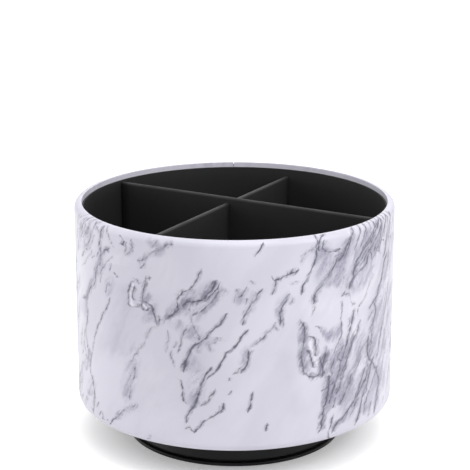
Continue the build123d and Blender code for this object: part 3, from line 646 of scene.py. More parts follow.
def leather_outline():
    """Section of the leather, as (radius, height): up its face, then down its back."""
    low, high = BARREL_LOW, BARREL_HIGH
    foot = (BARREL_RADIUS - FOOT_ROLL, low + FOOT_ROLL)
    rim = (BARREL_RADIUS - RIM_ROLL, high - RIM_ROLL)
    lip = (FLAP_INSIDE + INNER_ROLL, high - INNER_ROLL)
    hem = (BARREL_RADIUS - HEM_WIDTH, low)
    flap_back, wall_back = FLAP_INSIDE + FLAP, BARREL_RADIUS - LEATHER
    face = [hem, *run(hem, (foot[0], low), 8)]
    face += arc(foot, FOOT_ROLL, -90, 0, 10)
    face += run((BARREL_RADIUS, foot[1]), (BARREL_RADIUS, rim[1]), 44)
    face += arc(rim, RIM_ROLL, 0, 90, 12)
    face += arc(lip, INNER_ROLL, 90, 180, 4)
    face += [(FLAP_INSIDE, high - FLAP_RING), (FLAP_INSIDE, high - FLAP_DEPTH)]
    back = [(flap_back, high - FLAP_DEPTH), (flap_back, high - LEATHER)]
    back += arc(rim, RIM_ROLL - LEATHER, 90, 0, 6)
    back += run((wall_back, rim[1]), (wall_back, foot[1]), 4)
    back += arc(foot, FOOT_ROLL - LEATHER, 0, -90, 5)
    back += [(hem[0], low + LEATHER)]
    return face + back


def sheet_height(radius, height):
    """Height on the leather laid flat, in millimetres, of a point of its section."""
    low, high = BARREL_LOW, BARREL_HIGH
    foot, rim = low + FOOT_ROLL, high - RIM_ROLL
    if height < foot:
        angle = atan2(foot - height, max(radius - (BARREL_RADIUS - FOOT_ROLL), 0.0))
        return (FOOT_ROLL - FOOT_ROLL * angle - max(BARREL_RADIUS - FOOT_ROLL - radius, 0)) / MM
    if height > rim:
        angle = atan2(height - rim, max(radius - (BARREL_RADIUS - RIM_ROLL), 0.0))
        past = max(BARREL_RADIUS - RIM_ROLL - radius, 0)
        return (rim - low + RIM_ROLL * angle + past) / MM
    if radius < FLAP_INSIDE + FLAP:
        return (2 * high - low - height) / MM
    return (height - low) / MM


def marble_leather_wrap():
    """Leather round the wall: over the rim to a flap inside, under to a pleated hem, with a seam behind."""
    half_gap = SEAM_GAP / 2 / BARREL_RADIUS
    bm = bmesh.new()
    spun(bm, leather_outline(), SEAM + half_gap, 2 * pi - 2 * half_gap, ROUND_STEPS)
    sheet = bm.loops.layers.uv.new("sheet")
    for face in bm.faces:
        for loop in face.loops:
            x, y, z = loop.vert.co
            past_seam = (atan2(y, x) - SEAM) % (2 * pi)
            along = BARREL_RADIUS * (past_seam + SEAM - 2 * pi - FRONT)
            loop[sheet].uv = (along / MM, sheet_height(hypot(x, y), z))
    for vert in bm.verts:
        x, y, z = vert.co
        radius, angle = hypot(x, y), atan2(y, x)
        if z < BARREL_LOW + HEM_PLAY:
            inward = min(max((BARREL_RADIUS - FOOT_ROLL - radius) / (HEM_WIDTH - FOOT_ROLL), 0), 1)
            ridge = max(cos(PLEATS * angle), 0) ** 3
            vert.co.z -= PLEAT_HEIGHT * ridge * inward * (0.6 + 0.4 * sin(7 * angle))
        elif radius > BARREL_RADIUS - 2 * LEATHER:
            swell = WAVINESS * noise.noise(Vector((x, y, z)) * LEATHER_WAVES)
            vert.co.x += swell * cos(angle)
            vert.co.y += swell * sin(angle)
    finished(bm, "marble_leather_wrap", "barrel", "marble_leather", ["leather_wrap"])


def wall_lining_sheet():
    """Lining of the inside wall: a soft top edge, thinner over the flap, and a lap joint at the front."""
    low, high = (corner.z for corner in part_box("wall_lining"))
    back, wide_back = LINING_INSIDE + LINING, LINING_INSIDE + LINING + LINING_STEP
    crest = (LINING_INSIDE + LINING_ROUND, high - LINING_ROUND)
    step_at = BARREL_HIGH - FLAP_DEPTH
    outline = [(LINING_INSIDE, low), *run((LINING_INSIDE, low), (LINING_INSIDE, crest[1]), 14)]
    outline += arc(crest, LINING_ROUND, 180, 90, 5)
    outline += [(back - LINING_BEVEL, high), (back, high - LINING_BEVEL), (back, step_at)]
    outline += [(wide_back, step_at - LINING_BEVEL), (wide_back, low)]
    bm = bmesh.new()
    spun(bm, outline, LINING_SEAM, 2 * pi - LINING_GAP / LINING_INSIDE, LINING_STEPS)
    for vert in bm.verts:
        x, y, z = vert.co
        radius, angle = hypot(x, y), atan2(y, x)
        if radius > LINING_INSIDE + LINING_ROUND:
            continue
        past_seam = (angle - LINING_SEAM) % (2 * pi)
        left = max(0.0, 1 - (2 * pi - past_seam) * LINING_INSIDE / LAP_WIDTH)
        ripple = WAVINESS * noise.noise(Vector((x, y, z)) * LINING_WAVES)
        inward = LAP_RISE * left * left * (3 - 2 * left) + ripple
        vert.co.x -= inward * cos(angle)
        vert.co.y -= inward * sin(angle)
    finished(bm, "wall_lining_sheet", "barrel", "black_lining", ["wall_lining"])


def cover_profile(half, low, high, slot_heights):
    """Section of a folded cover, as (across, height), from one foot over the fold to the other."""
    bend = high - FOLD_ROUND
    side = [low + (bend - low) * step / SIDE_STEPS for step in range(SIDE_STEPS)]
    side = sorted(side + [z for z in slot_heights if low < z < bend])
    fold = arc((half - FOLD_ROUND, bend), FOLD_ROUND, 0, 90, 6)
    first_half = [(-half, z) for z in side] + [(-t, z) for t, z in fold]
    return first_half + [(-t, z) for t, z in reversed(first_half)]


def folded_cover(name, node, slot_middle, slot_low, slot_high):
    """Black sheet folded over a divider's top edge, with the slot that the other divider passes through."""
    low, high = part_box(node)
    middle, size = (low + high) / 2, high - low
    along_y = size.y > size.x
    length, width = (size.y, size.x) if along_y else (size.x, size.y)
    profile = cover_profile(width / 2, low.z, high.z, (slot_low, slot_high))
    slot_sides = [slot_middle - SLOT_WIDTH / 2, slot_middle + SLOT_WIDTH / 2]
    even = [-length / 2 + length * step / LENGTH_STEPS for step in range(LENGTH_STEPS + 1)]
    stations = sorted(slot_sides + [s for s in even if min(abs(s - side) for side in slot_sides) > SAME])

    bm = bmesh.new()
    chain = [bm.verts.new((stations[0], t, z)) for t, z in profile]
    edges = [bm.edges.new(pair) for pair in zip(chain, chain[1:])]
    for here, there in zip(stations, stations[1:]):
        grown = bmesh.ops.extrude_edge_only(bm, edges=edges)["geom"]
        edges = [e for e in grown if isinstance(e, bmesh.types.BMEdge)]
        bmesh.ops.translate(bm, verts=verts_of(grown), vec=(there - here, 0, 0))
    cut = []
    for face in bm.faces:
        place = face.calc_center_median()
        if abs(place.x - slot_middle) < SLOT_WIDTH / 2 and slot_low < place.z < slot_high:
            cut.append(face)
    bmesh.ops.delete(bm, geom=cut, context="FACES")
    sheet = bm.loops.layers.uv.new("sheet")
    for face in bm.faces:
        for loop in face.loops:
            loop[sheet].uv = (loop.vert.co.x / MM, (high.z - loop.vert.co.z) / MM)
    for vert in bm.verts:
        s, t, z = vert.co
        swell = WAVINESS * (0.5 + 0.5 * noise.noise(Vector((s, t * 4, z)) * COVER_WAVES))
        vert.co.y += swell if t > 0 else -swell
        vert.co.z -= 0.5 * swell if z > high.z - FOLD_ROUND else 0.0
        if along_y:
            vert.co.x, vert.co.y = -vert.co.y, vert.co.x
    bmesh.ops.translate(bm, verts=bm.verts, vec=(middle.x, middle.y, 0))
    finished(bm, name, "barrel", "divider_cover", [node], wall=COVER)


def rubber_foot(number):
    """Round foot with ring grooves in the face that it stands on."""
    node = f"rubber_foot_{number}"
    low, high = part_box(node)
    radius, height = (high.x - low.x) / 2, high.z - low.z
    chain = in_metres(FOOT_FACE) + arc((radius - FOOT_ROUND, FOOT_ROUND), FOOT_ROUND, -90, 0, 5)
    chain += [(radius, height - FOOT_BEVEL), (radius - FOOT_BEVEL, height), (0, height)]
    bm = bmesh.new()
    turned(bm, chain, centre=((low.x + high.x) / 2, (low.y + high.y) / 2, low.z))
    finished(bm, f"grooved_{node}", "base", "foot_rubber", [node])


def cut_cross(bm):
    """Sinks a driver's cross into the flat face at height 0."""
    length, width, depth = RECESS
    flat = [f for f in bm.faces if all(abs(v.co.z) < SAME for v in f.verts)]
    geom = bmesh.ops.dissolve_faces(bm, faces=flat)["region"]
    for face in list(geom):
        geom += list(face.edges) + list(face.verts)
    for normal in ((1, 0, 0), (0, 1, 0)):
        for place in (-length / 2, -width / 2, width / 2, length / 2):
            point = Vector(normal) * place
            geom = bmesh.ops.bisect_plane(bm, geom=geom, dist=SAME, plane_co=point, plane_no=normal)["geom"]
    inside = []
    for face in bm.faces:
        x, y, z = (abs(c) for c in face.calc_center_median())
        in_cross = z < SAME and min(x, y) < width / 2 and max(x, y) < length / 2
        if in_cross and len(face.verts) <= CELL_CORNERS:
            inside.append(face)
    grown = bmesh.ops.extrude_face_region(bm, geom=inside)["geom"]
    bmesh.ops.scale(bm, verts=verts_of(grown), vec=(RECESS_TAPER, RECESS_TAPER, 1))
    bmesh.ops.translate(bm, verts=verts_of(grown), vec=(0, 0, -depth))
    bmesh.ops.delete(bm, geom=inside, context="FACES_ONLY")


def one_screw(bm, head, radius, end):
    """A threaded screw from its head, (radius, height) points from height 0 down, to its end."""
    root, neck = radius - THREAD_DEPTH, head[-1][1]
    shank = [(root, neck), (root, end + TIP_LENGTH * radius), (TIP_RADIUS * radius, end), (0, end)]
    turned(bm, head + shank, steps=SCREW_STEPS)
    cut_cross(bm)
    top, bottom = neck - THREAD_PITCH / 2, end + THREAD_END * radius
    turns = (top - bottom) / THREAD_PITCH
    steps = round(THREAD_STEPS * turns)
    sunk = root - THREAD_SINK
    ridge = [(sunk, THREAD_HALF), (radius, 0.0), (sunk, -THREAD_HALF)]
    verts = [bm.verts.new((r, 0, bottom + side * THREAD_PITCH)) for r, side in ridge]
    edges = [bm.edges.new((verts[i - 1], verts[i])) for i in range(3)]
    spin(bm, verts, edges, 2 * pi * turns, steps, dvec=(0, 0, (top - bottom) / steps))
    close_ends(bm)


def screws(name, node, body, head, radius, circle, count, start):
    """Screws on a circle, one piece: the barrel's point up and the base's point down."""
    low, high = (corner.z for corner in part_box(node))
    head_down = body == "barrel"
    bm = bmesh.new()
    one_screw(bm, in_metres(head), radius, low - high)
    if head_down:
        bmesh.ops.rotate(bm, verts=bm.verts, matrix=Matrix.Rotation(pi, 3, "X"))
    bmesh.ops.translate(bm, verts=bm.verts, vec=(circle, 0, low if head_down else high))
    bmesh.ops.rotate(bm, verts=bm.verts, matrix=Matrix.Rotation(radians(start), 3, "Z"))
    first = list(bm.verts) + list(bm.edges) + list(bm.faces)
    for number in range(1, count):
        moved = verts_of(bmesh.ops.duplicate(bm, geom=first)["geom"])
        bmesh.ops.rotate(bm, verts=moved, matrix=Matrix.Rotation(2 * pi * number / count, 3, "Z"))
    finished(bm, name, body, "zinc_screws", [node])


def spring_nut():
    """Spring-steel push nut: a flat rim, a dished web and six teeth that bite the pin."""
    low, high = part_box("push_nut")
    bm = bmesh.new()
    bmesh.ops.create_circle(bm, segments=SPRING_STEPS, radius=(high.x - low.x) / 2)
    edges = list(bm.edges)
    for ring, (radius, drop) in enumerate(SPRING_RINGS, start=1):
        if ring == len(SPRING_RINGS):
            ends = [(e, e.verts[0].co + e.verts[1].co) for e in edges]
            edges = [e for e, middle in ends if atan2(middle.x, middle.y) % TOOTH_PITCH < TOOTH_WIDTH]
        grown = bmesh.ops.extrude_edge_only(bm, edges=edges)["geom"]
        edges = [e for e in grown if isinstance(e, bmesh.types.BMEdge) and e.is_boundary]
        for vert in verts_of(grown):
            vert.co = vert.co.normalized() * radius
            vert.co.z = -drop
    bmesh.ops.translate(bm, verts=bm.verts, vec=(0, 0, high.z))
    finished(bm, "spring_nut", "base", "spring_steel", ["push_nut"], wall=SPRING_SHEET)


# Shader nodes

def feed(tree, socket, value):
    """Gives a socket its value, or a link where the value is another node's output."""
    if isinstance(value, bpy.types.NodeSocket):
        tree.links.new(value, socket)
    else:
        socket.default_value = value


def put(tree, kind, inputs=(), **settings):
    """A node with its settings made and its inputs given values or links; returns its first output."""
    node = tree.nodes.new("ShaderNode" + kind)
    for name, value in settings.items():
        setattr(node, name, value)
    for key, value in dict(inputs).items():
        feed(tree, node.inputs[key], value)
    return node.outputs[0]


def calc(tree, operation, *values):
    """The result of one step of arithmetic."""
    return put(tree, "Math", enumerate(values), operation=operation)


def product(tree, first, second):
    """One value times another."""
    return calc(tree, "MULTIPLY", first, second)


def larger(tree, first, second):
    """The larger of two values."""
    return calc(tree, "MAXIMUM", first, second)


def remap(tree, value, low, high, to_low=0.0, to_high=1.0, kind="SMOOTHSTEP"):
    """A value taken from one range to another, softly unless told otherwise."""
    places = {"Value": value, "From Min": low, "From Max": high, "To Min": to_low, "To Max": to_high}
    return put(tree, "MapRange", places, interpolation_type=kind)


def mix(tree, factor, first, second):
    """A colour between two others."""
    node = tree.nodes.new("ShaderNodeMix")
    node.data_type = "RGBA"
    for index, value in ((0, factor), (6, first), (7, second)):
        feed(tree, node.inputs[index], value)
    return node.outputs[2]


def clouds(tree, where, scale, detail=3.0, roughness=0.55, distortion=0.0, dimensions="3D"):
    """Soft noise at a place."""
    inputs = {"Vector": where, "Scale": scale, "Detail": detail, "Roughness": roughness}
    return put(tree, "TexNoise", {**inputs, "Distortion": distortion}, noise_dimensions=dimensions)


def bumps(tree, height, depth):
    """The normal of a surface with that relief, so many metres deep."""
    return put(tree, "Bump", {"Strength": 1.0, "Distance": depth, "Height": height})


def split(tree, vector):
    """The three parts of a vector."""
    return put(tree, "SeparateXYZ", {0: vector}).node.outputs


def object_place(tree):
    """The place on the object, in metres."""
    return tree.nodes.new("ShaderNodeTexCoord").outputs["Object"]


def linear(red, green, blue):
    """A colour given as it looks on a screen, from 0 to 255, as the shader reads it."""
    channels = [c / 255 for c in (red, green, blue)]
    return tuple(c / 12.92 if c <= 0.04045 else ((c + 0.055) / 1.055) ** 2.4 for c in channels) + (1.0,)


def shaded(colour, factor, lift=0.0):
    """A colour made paler or darker."""
    return tuple(min(c * factor + lift, 1.0) for c in colour[:3]) + (1.0,)


def new_material(name, **constants):
    """A material with a principled shader whose plain values are set on its own sockets."""
    material = bpy.data.materials.new(name)
    material.use_nodes = True
    tree = material.node_tree
    shader = tree.nodes["Principled BSDF"]
    for key, value in constants.items():
        shader.inputs[key.replace("_", " ").title().replace("Ior", "IOR")].default_value = value
    return material, tree, shader


def dress(tree, shader, colour, normal, roughness=None):
    """Gives a shader its colour and its normal, and its roughness where that varies."""
    tree.links.new(colour, shader.inputs["Base Color"])
    tree.links.new(normal, shader.inputs["Normal"])
    if roughness is not None:
        tree.links.new(roughness, shader.inputs["Roughness"])


def effect(name, inputs, outputs):
    """An empty node group with named sockets, its input sockets and the sockets that its results go to."""
    group = bpy.data.node_groups.new(name, "ShaderNodeTree")
    for label, kind, value in inputs:
        socket = group.interface.new_socket(label, in_out="INPUT", socket_type="NodeSocket" + kind)
        if value is not None:
            socket.default_value = value
    for label, kind in outputs:
        group.interface.new_socket(label, in_out="OUTPUT", socket_type="NodeSocket" + kind)
    return group, group.nodes.new("NodeGroupInput").outputs, group.nodes.new("NodeGroupOutput").inputs


def use(tree, group, **inputs):
    """That effect's outputs, placed in a material with its own values."""
    node = tree.nodes.new("ShaderNodeGroup")
    node.node_tree = group
    for key, value in inputs.items():
        feed(tree, node.inputs[key.replace("_", " ")], value)
    return node.outputs


def grain_effect():
    """Fine pebbled grain with broader unevenness: a normal and a mask of its hollows."""
    group, given, results = effect(
        "fine grain",
        (("Place", "Vector", None), ("Grain Scale", "Float", 1500.0), ("Depth", "Float", 0.00003)),
        (("Normal", "Vector"), ("Hollows", "Float")),
    )
    place, scale, depth = given[0], given[1], given[2]
    pebbles = put(group, "TexVoronoi", {"Vector": place, "Scale": scale}, feature="SMOOTH_F1")
    fine = clouds(group, place, product(group, scale, 2.3), detail=2.0)
    height = calc(group, "MULTIPLY_ADD", fine, 0.5, product(group, pebbles, 0.9))
    group.links.new(bumps(group, height, depth), results[0])
    group.links.new(remap(group, height, 0.35, 0.9), results[1])
    return group


# Marble print

def vein_runs(points):
    """The axis of the sheet that a vein runs along, and its points in stretches that go one way along it."""
    spans = [max(p[axis] for p in points) - min(p[axis] for p in points) for axis in (0, 1)]
    axis = 0 if spans[0] > SIDEWAYS * spans[1] else 1
    runs = [[points[0]]]
    for here, there in zip(points, points[1:]):
        step = there[axis] - here[axis]
        if len(runs[-1]) > 1 and step * (runs[-1][-1][axis] - runs[-1][0][axis]) < 0:
            runs.append([here])
        runs[-1].append(there)
    return axis, [sorted(stretch, key=lambda p: p[axis]) for stretch in runs]


def curved(tree, place, points):
    """The height of a smooth curve through those points, at a place along it from 0 to 1."""
    node = tree.nodes.new("ShaderNodeFloatCurve")
    tree.links.new(place, node.inputs["Value"])
    mapping = node.mapping
    mapping.extend = "HORIZONTAL"
    curve = mapping.curves[0]
    curve.points[0].location = points[0]
    curve.points[1].location = points[-1]
    for point in points[1:-1]:
        curve.points.new(*point)
    for point in curve.points:
        point.handle_type = "AUTO_CLAMPED"
    mapping.update()
    return node.outputs[0]


def drawn_out(points):
    """A vein's points, with each end carried on past the last one."""
    tips = []
    for end, inner in ((points[0], points[1]), (points[-1], points[-2])):
        reach = TIP / hypot(end[0] - inner[0], end[1] - inner[1])
        tips.append((end[0] + (end[0] - inner[0]) * reach, end[1] + (end[1] - inner[1]) * reach))
    return [tips[0], *points, tips[1]]


def laid_vein(tree, places, vein, style, drawn, line):
    """Adds one vein to what is drawn, its darkness on its middle line falling to 0 at its half width.

    The fine line gets the vein too, with sides as steep for every vein.
    """
    half_width, darkness, *points = vein
    spread, taper, faintest = style
    darkness = faintest + (1 - faintest) * darkness
    points = drawn_out(points)
    axis, stretches = vein_runs(points)
    along, across = places[axis], places[1 - axis]
    shift = (SHEET_LEFT, 0.0)
    for stretch in stretches:
        course = [((p[axis] + shift[axis]) / SHEET, (p[1 - axis] + shift[1 - axis]) / SHEET) for p in stretch]
        start, length = course[0][0], course[-1][0] - course[0][0]
        if length < SHORTEST:
            continue
        slant = min(hypot(length, course[-1][1] - course[0][1]) / length, STEEPEST)
        ends = [taper if end in (points[0], points[-1]) else JOINT for end in (stretch[0], stretch[-1])]
        first, last = (min(end / (length * SHEET), MOST_TAPER) for end in ends)
        strengths = [(0, 0), (first, darkness), (0.5, darkness * MIDDLE_FADE), (1 - last, darkness), (1, 0)]
        place = calc(tree, "MULTIPLY_ADD", along, 1 / length, -start / length)
        middle = curved(tree, place, [((a - start) / length, b) for a, b in course])
        strength = curved(tree, place, strengths)
        off = calc(tree, "ABSOLUTE", calc(tree, "SUBTRACT", across, middle))
        fall = darkness / (spread * half_width / SHEET * slant)
        drawn = larger(tree, drawn, calc(tree, "MULTIPLY_ADD", off, -fall, strength))
        line_fall = SHEET / (LINE_REACH * slant)
        line = larger(tree, line, calc(tree, "MULTIPLY_ADD", off, -line_fall, strength))
    return drawn, line


def vein_group(area, entries, *style):
    """The veins of one area as an effect of their own: how dark they are, and the fine lines in them."""
    inputs = (("Across", "Float", None), ("Up", "Float", None))
    group, given, results = effect(area, inputs, (("Drawn", "Float"), ("Line", "Float")))
    drawn, line = 0.0, 0.0
    for vein in entries:
        drawn, line = laid_vein(group, (given[0], given[1]), vein, style, drawn, line)
    group.links.new(drawn, results[0])
    group.links.new(line, results[1])
    return group


def wandered(tree, scale, reach, start):
    """A place on the sheet moved about by clouds of that scale."""
    shake = clouds(tree, start, scale, detail=2.0, roughness=0.5, dimensions="2D").node.outputs["Color"]
    centred = put(tree, "VectorMath", {0: shake, 1: (0.5, 0.5, 0.5)}, operation="SUBTRACT")
    return put(tree, "VectorMath", {0: centred, 1: (reach, reach, 0), 2: start}, operation="MULTIPLY_ADD")


def leaning(tree, stretch, start):
    """A place on the sheet drawn out along the way that the veins lean."""
    places = {"Vector": start, "Rotation": (0, 0, LEAN), "Scale": (stretch, 1.0, 1.0)}
    return put(tree, "Mapping", places, vector_type="TEXTURE")


def laid_marbling(tree, place):
    """What is laid one by one, at a place on the sheet: veins, their fine lines and the four soft fields."""
    along, height = split(tree, place)[:2]
    across = calc(tree, "MULTIPLY_ADD", along, 1 / SHEET, SHEET_LEFT / SHEET)
    up = product(tree, height, 1 / SHEET)
    veins, line = 0.0, 0.0
    for area, entries in VEINS.items():
        group = vein_group(area, entries, HALO, TAPER, FAINTEST)
        drawn_here, line_here = use(tree, group, Across=across, Up=up)
        veins = larger(tree, veins, drawn_here)
        line = larger(tree, line, line_here)
    fields = []
    for area, (entries, taper) in SOFT_FIELDS.items():
        fields.append(use(tree, vein_group(area, entries, 1.0, taper, 0.0), Across=across, Up=up)[0])
    return veins, line, *fields


def free_marbling(tree, sheet, drift):
    """Marbling where no vein is laid, as lines and the haze round them."""
    broad = clouds(tree, drift, 0.045, detail=6.0, roughness=0.6, distortion=0.6, dimensions="2D")
    ridge = calc(tree, "ABSOLUTE", calc(tree, "SUBTRACT", broad, 0.5))
    along, up = split(tree, sheet)[:2]
    gate = remap(tree, clouds(tree, drift, 0.03, detail=2.0, dimensions="2D"), 0.42, 0.62)
    gate = product(tree, gate, remap(tree, calc(tree, "ABSOLUTE", along), *FREE_PAST))
    gate = product(tree, gate, remap(tree, up, *FREE_TOP, 1.0, 0.2))
    return [product(tree, remap(tree, ridge, reach, 0.0), gate) for reach in (0.03, 0.14)]


def marble_masks(tree, sheet):
    """Where each colour of the print lies, with ragged edges, broken middles and fine strands."""
    near = sheet
    for scale, reach in WANDERINGS:
        near = wandered(tree, scale, reach, near)
    veins, line, pale, haze, lift, veil = laid_marbling(tree, near)
    drift = leaning(tree, 2.6, near)
    free, free_haze = free_marbling(tree, sheet, drift)
    ragged = clouds(tree, leaning(tree, 1.6, near), 0.6, detail=4.0, roughness=0.7, dimensions="2D")
    strands = clouds(tree, leaning(tree, 5.5, near), 0.9, detail=2.0, roughness=0.55, dimensions="2D")
    wisps = clouds(tree, leaning(tree, 3.6, near), 0.22, detail=5.0, roughness=0.6, dimensions="2D")
    cloudy = clouds(tree, drift, 0.03, detail=4.0, dimensions="2D")

    drawn = larger(tree, veins, product(tree, free, 0.75))
    smoky = larger(tree, haze, product(tree, free_haze, 0.5))
    line = larger(tree, line, product(tree, free, 0.6))
    broken = calc(tree, "MULTIPLY_ADD", ragged, 1.2, calc(tree, "MULTIPLY_ADD", strands, 0.7, -0.95))
    lined = calc(tree, "ADD", line, product(tree, broken, remap(tree, line, 0.0, 0.3)))
    streaked = calc(tree, "MULTIPLY_ADD", ragged, 0.7, calc(tree, "MULTIPLY_ADD", strands, 1.1, -0.85))
    halo = calc(tree, "ADD", drawn, product(tree, streaked, remap(tree, drawn, 0.0, 0.5)))
    hair = remap(tree, calc(tree, "PINGPONG", product(tree, wisps, 7.0), 0.5), 0.2, 0.0)
    near_vein = remap(tree, larger(tree, smoky, drawn), 0.04, 0.34)
    hairs = product(tree, hair, product(tree, near_vein, remap(tree, ragged, 0.38, 0.62)))
    return remap(tree, cloudy, 0.35, 0.65), {
        "veil": remap(tree, veil, 0.0, 0.6),
        # pale stone, partly painted light along the left edge
        "lift": product(tree, lift, remap(tree, wisps, 0.3, 0.7, 1.4, 0.4)),
        "smoke": product(tree, smoky, remap(tree, wisps, 0.36, 0.66, 0.35, 3.6)),
        # painted highlight over the rim and painted light on the flap inside
        "rim": remap(tree, split(tree, sheet)[1], *RIM_HIGHLIGHT_BAND),
        "pale": pale,
        "ink": larger(tree, remap(tree, halo, 0.08, 1.15), product(tree, hairs, 0.7)),
        "core": remap(tree, lined, 0.1, 0.8),
    }


# Finishes

def marble_leather():
    """Satin leather printed as white marble with grey veins, with a painted highlight over the rim and
    painted light along the left edge.
    """
    material, tree, shader = new_material(
        "marble_leather", coat_weight=0.12, coat_roughness=0.25, specular_ior_level=0.45
    )
    cloudy, masks = marble_masks(tree, put(tree, "UVMap", uv_map="sheet"))
    printed = mix(tree, cloudy, linear(*STONE[0]), linear(*STONE[1]))
    for layer, (colour, cover) in PRINT.items():
        printed = mix(tree, product(tree, masks[layer], cover), printed, linear(*colour))
    grain = use(tree, GRAIN, Place=object_place(tree), Grain_Scale=1400.0, Depth=0.000012)
    dress(tree, shader, printed, grain["Normal"], remap(tree, grain["Hollows"], 0.0, 1.0, 0.36, 0.44))
    return material


def black_sheet(name, shade, shine=0.18, folded=False):
    """Matte black leatherette with a fine grain, faintly dusty, and paler along a fold: partly wear from
    rubbing, partly a painted highlight on the fold's crest.
    """
    material, tree, shader = new_material(name, specular_ior_level=shine)
    place = object_place(tree)
    grain = use(tree, GRAIN, Place=place, Grain_Scale=1100.0, Depth=0.00003)
    dusty = remap(tree, clouds(tree, place, 26.0, detail=5.0, roughness=0.6), 0.35, 0.75)
    colour = mix(tree, dusty, shade, shaded(shade, 1.22))
    if folded:
        # the top millimetre of the fold is painted paler: partly wear, partly a painted highlight
        below_fold = split(tree, put(tree, "UVMap", uv_map="sheet"))[1]
        rubbed_and_highlit = remap(tree, below_fold, 1.0, 0.1)
        patchy = remap(tree, clouds(tree, place, 90.0, detail=4.0), 0.3, 0.6, 0.25, 1.0)
        colour = mix(tree, product(tree, rubbed_and_highlit, patchy), colour, linear(58, 58, 58))
    dress(tree, shader, colour, grain["Normal"], remap(tree, dusty, 0.0, 1.0, 0.6, 0.52))
    return material


def moulded_plastic(name, shade, roughness, depth=0.000008, shine=0.5):
    """Moulded plastic with a fine skin and faint handling marks."""
    material, tree, shader = new_material(name, specular_ior_level=shine)
    place = object_place(tree)
    grain = use(tree, GRAIN, Place=place, Grain_Scale=2400.0, Depth=depth)
    marks = remap(tree, clouds(tree, place, 45.0, detail=6.0, roughness=0.65), 0.45, 0.75)
    colour = mix(tree, marks, shade, shaded(shade, 1.25, lift=0.004))
    dress(tree, shader, colour, grain["Normal"], remap(tree, marks, 0.0, 1.0, roughness, roughness + 0.1))
    return material


def worked_metal(name, shade, roughness, turning=0.0):
    """Metal with dull patches from its plating, and with round marks of that depth where it was turned."""
    material, tree, shader = new_material(name, metallic=1.0)
    place = object_place(tree)
    dull = remap(tree, clouds(tree, place, 160.0, detail=5.0), 0.4, 0.7)
    colour = mix(tree, dull, shade, shaded(shade, 0.82))
    tree.links.new(colour, shader.inputs["Base Color"])
    tree.links.new(remap(tree, dull, 0.0, 1.0, roughness, roughness + 0.12), shader.inputs["Roughness"])
    if turning:
        x, y = split(tree, place)[:2]
        radius = calc(tree, "SQRT", calc(tree, "ADD", product(tree, x, x), product(tree, y, y)))
        rings = clouds(tree, product(tree, radius, 9000.0), 1.0, detail=2.0)
        tree.links.new(bumps(tree, rings, turning), shader.inputs["Normal"])
    return material


def grey_board(name, shade):
    """Pressed board: short fibres and layers in its thickness."""
    material, tree, shader = new_material(name, roughness=0.85, specular_ior_level=0.2)
    layered = put(tree, "Mapping", {"Vector": object_place(tree), "Scale": (1.0, 1.0, 5.0)})
    fibres = clouds(tree, layered, 420.0, detail=6.0, roughness=0.7)
    colour = mix(tree, remap(tree, fibres, 0.35, 0.65), shaded(shade, 0.72), shade)
    dress(tree, shader, colour, bumps(tree, fibres, 0.00006))
    return material


def felt(name, shade):
    """Short felt: tangled fibres that lift the light at its edges."""
    material, tree, shader = new_material(name, roughness=0.95, sheen_weight=0.4, sheen_roughness=0.5)
    fibres = clouds(tree, object_place(tree), 900.0, detail=5.0, roughness=0.75, distortion=1.5)
    dress(tree, shader, mix(tree, fibres, shade, shaded(shade, 1.8)), bumps(tree, fibres, 0.00015))
    return material


# Light, floor and camera

def direction(azimuth, elevation):
    """Unit vector out from the turning axis, the azimuth counted in degrees from -Y towards +X."""
    turn, rise = radians(azimuth), radians(elevation)
    return Vector((sin(turn) * cos(rise), -cos(turn) * cos(rise), sin(rise)))


def softbox(name, azimuth, elevation, distance, size, power):
    """A square lamp round the view's direction, facing the barrel."""
    lamp = bpy.data.lights.new(name, "AREA")
    lamp.shape = "SQUARE"
    lamp.size = size
    lamp.energy = power
    holder = placed(name, lamp)
    away = direction(VIEW_AZIMUTH + azimuth, elevation)
    holder.location = away * distance + LAMP_AIM
    holder.rotation_euler = away.to_track_quat("Z", "Y").to_euler()


def white_surroundings():
    """A world that looks white and lights the object by less than it looks."""
    world = bpy.data.worlds.new("studio")
    bpy.context.scene.world = world
    world.use_nodes = True
    tree = world.node_tree
    path = tree.nodes.new("ShaderNodeLightPath").outputs
    seen = larger(tree, path["Is Camera Ray"], path["Is Transmission Ray"])
    seen = larger(tree, seen, path["Is Glossy Ray"])
    strength = remap(tree, seen, 0.0, 1.0, AMBIENT, 1.0, kind="LINEAR")
    tree.links.new(strength, tree.nodes["Background"].inputs["Strength"])
    tree.nodes["Background"].inputs["Color"].default_value = (1, 1, 1, 1)


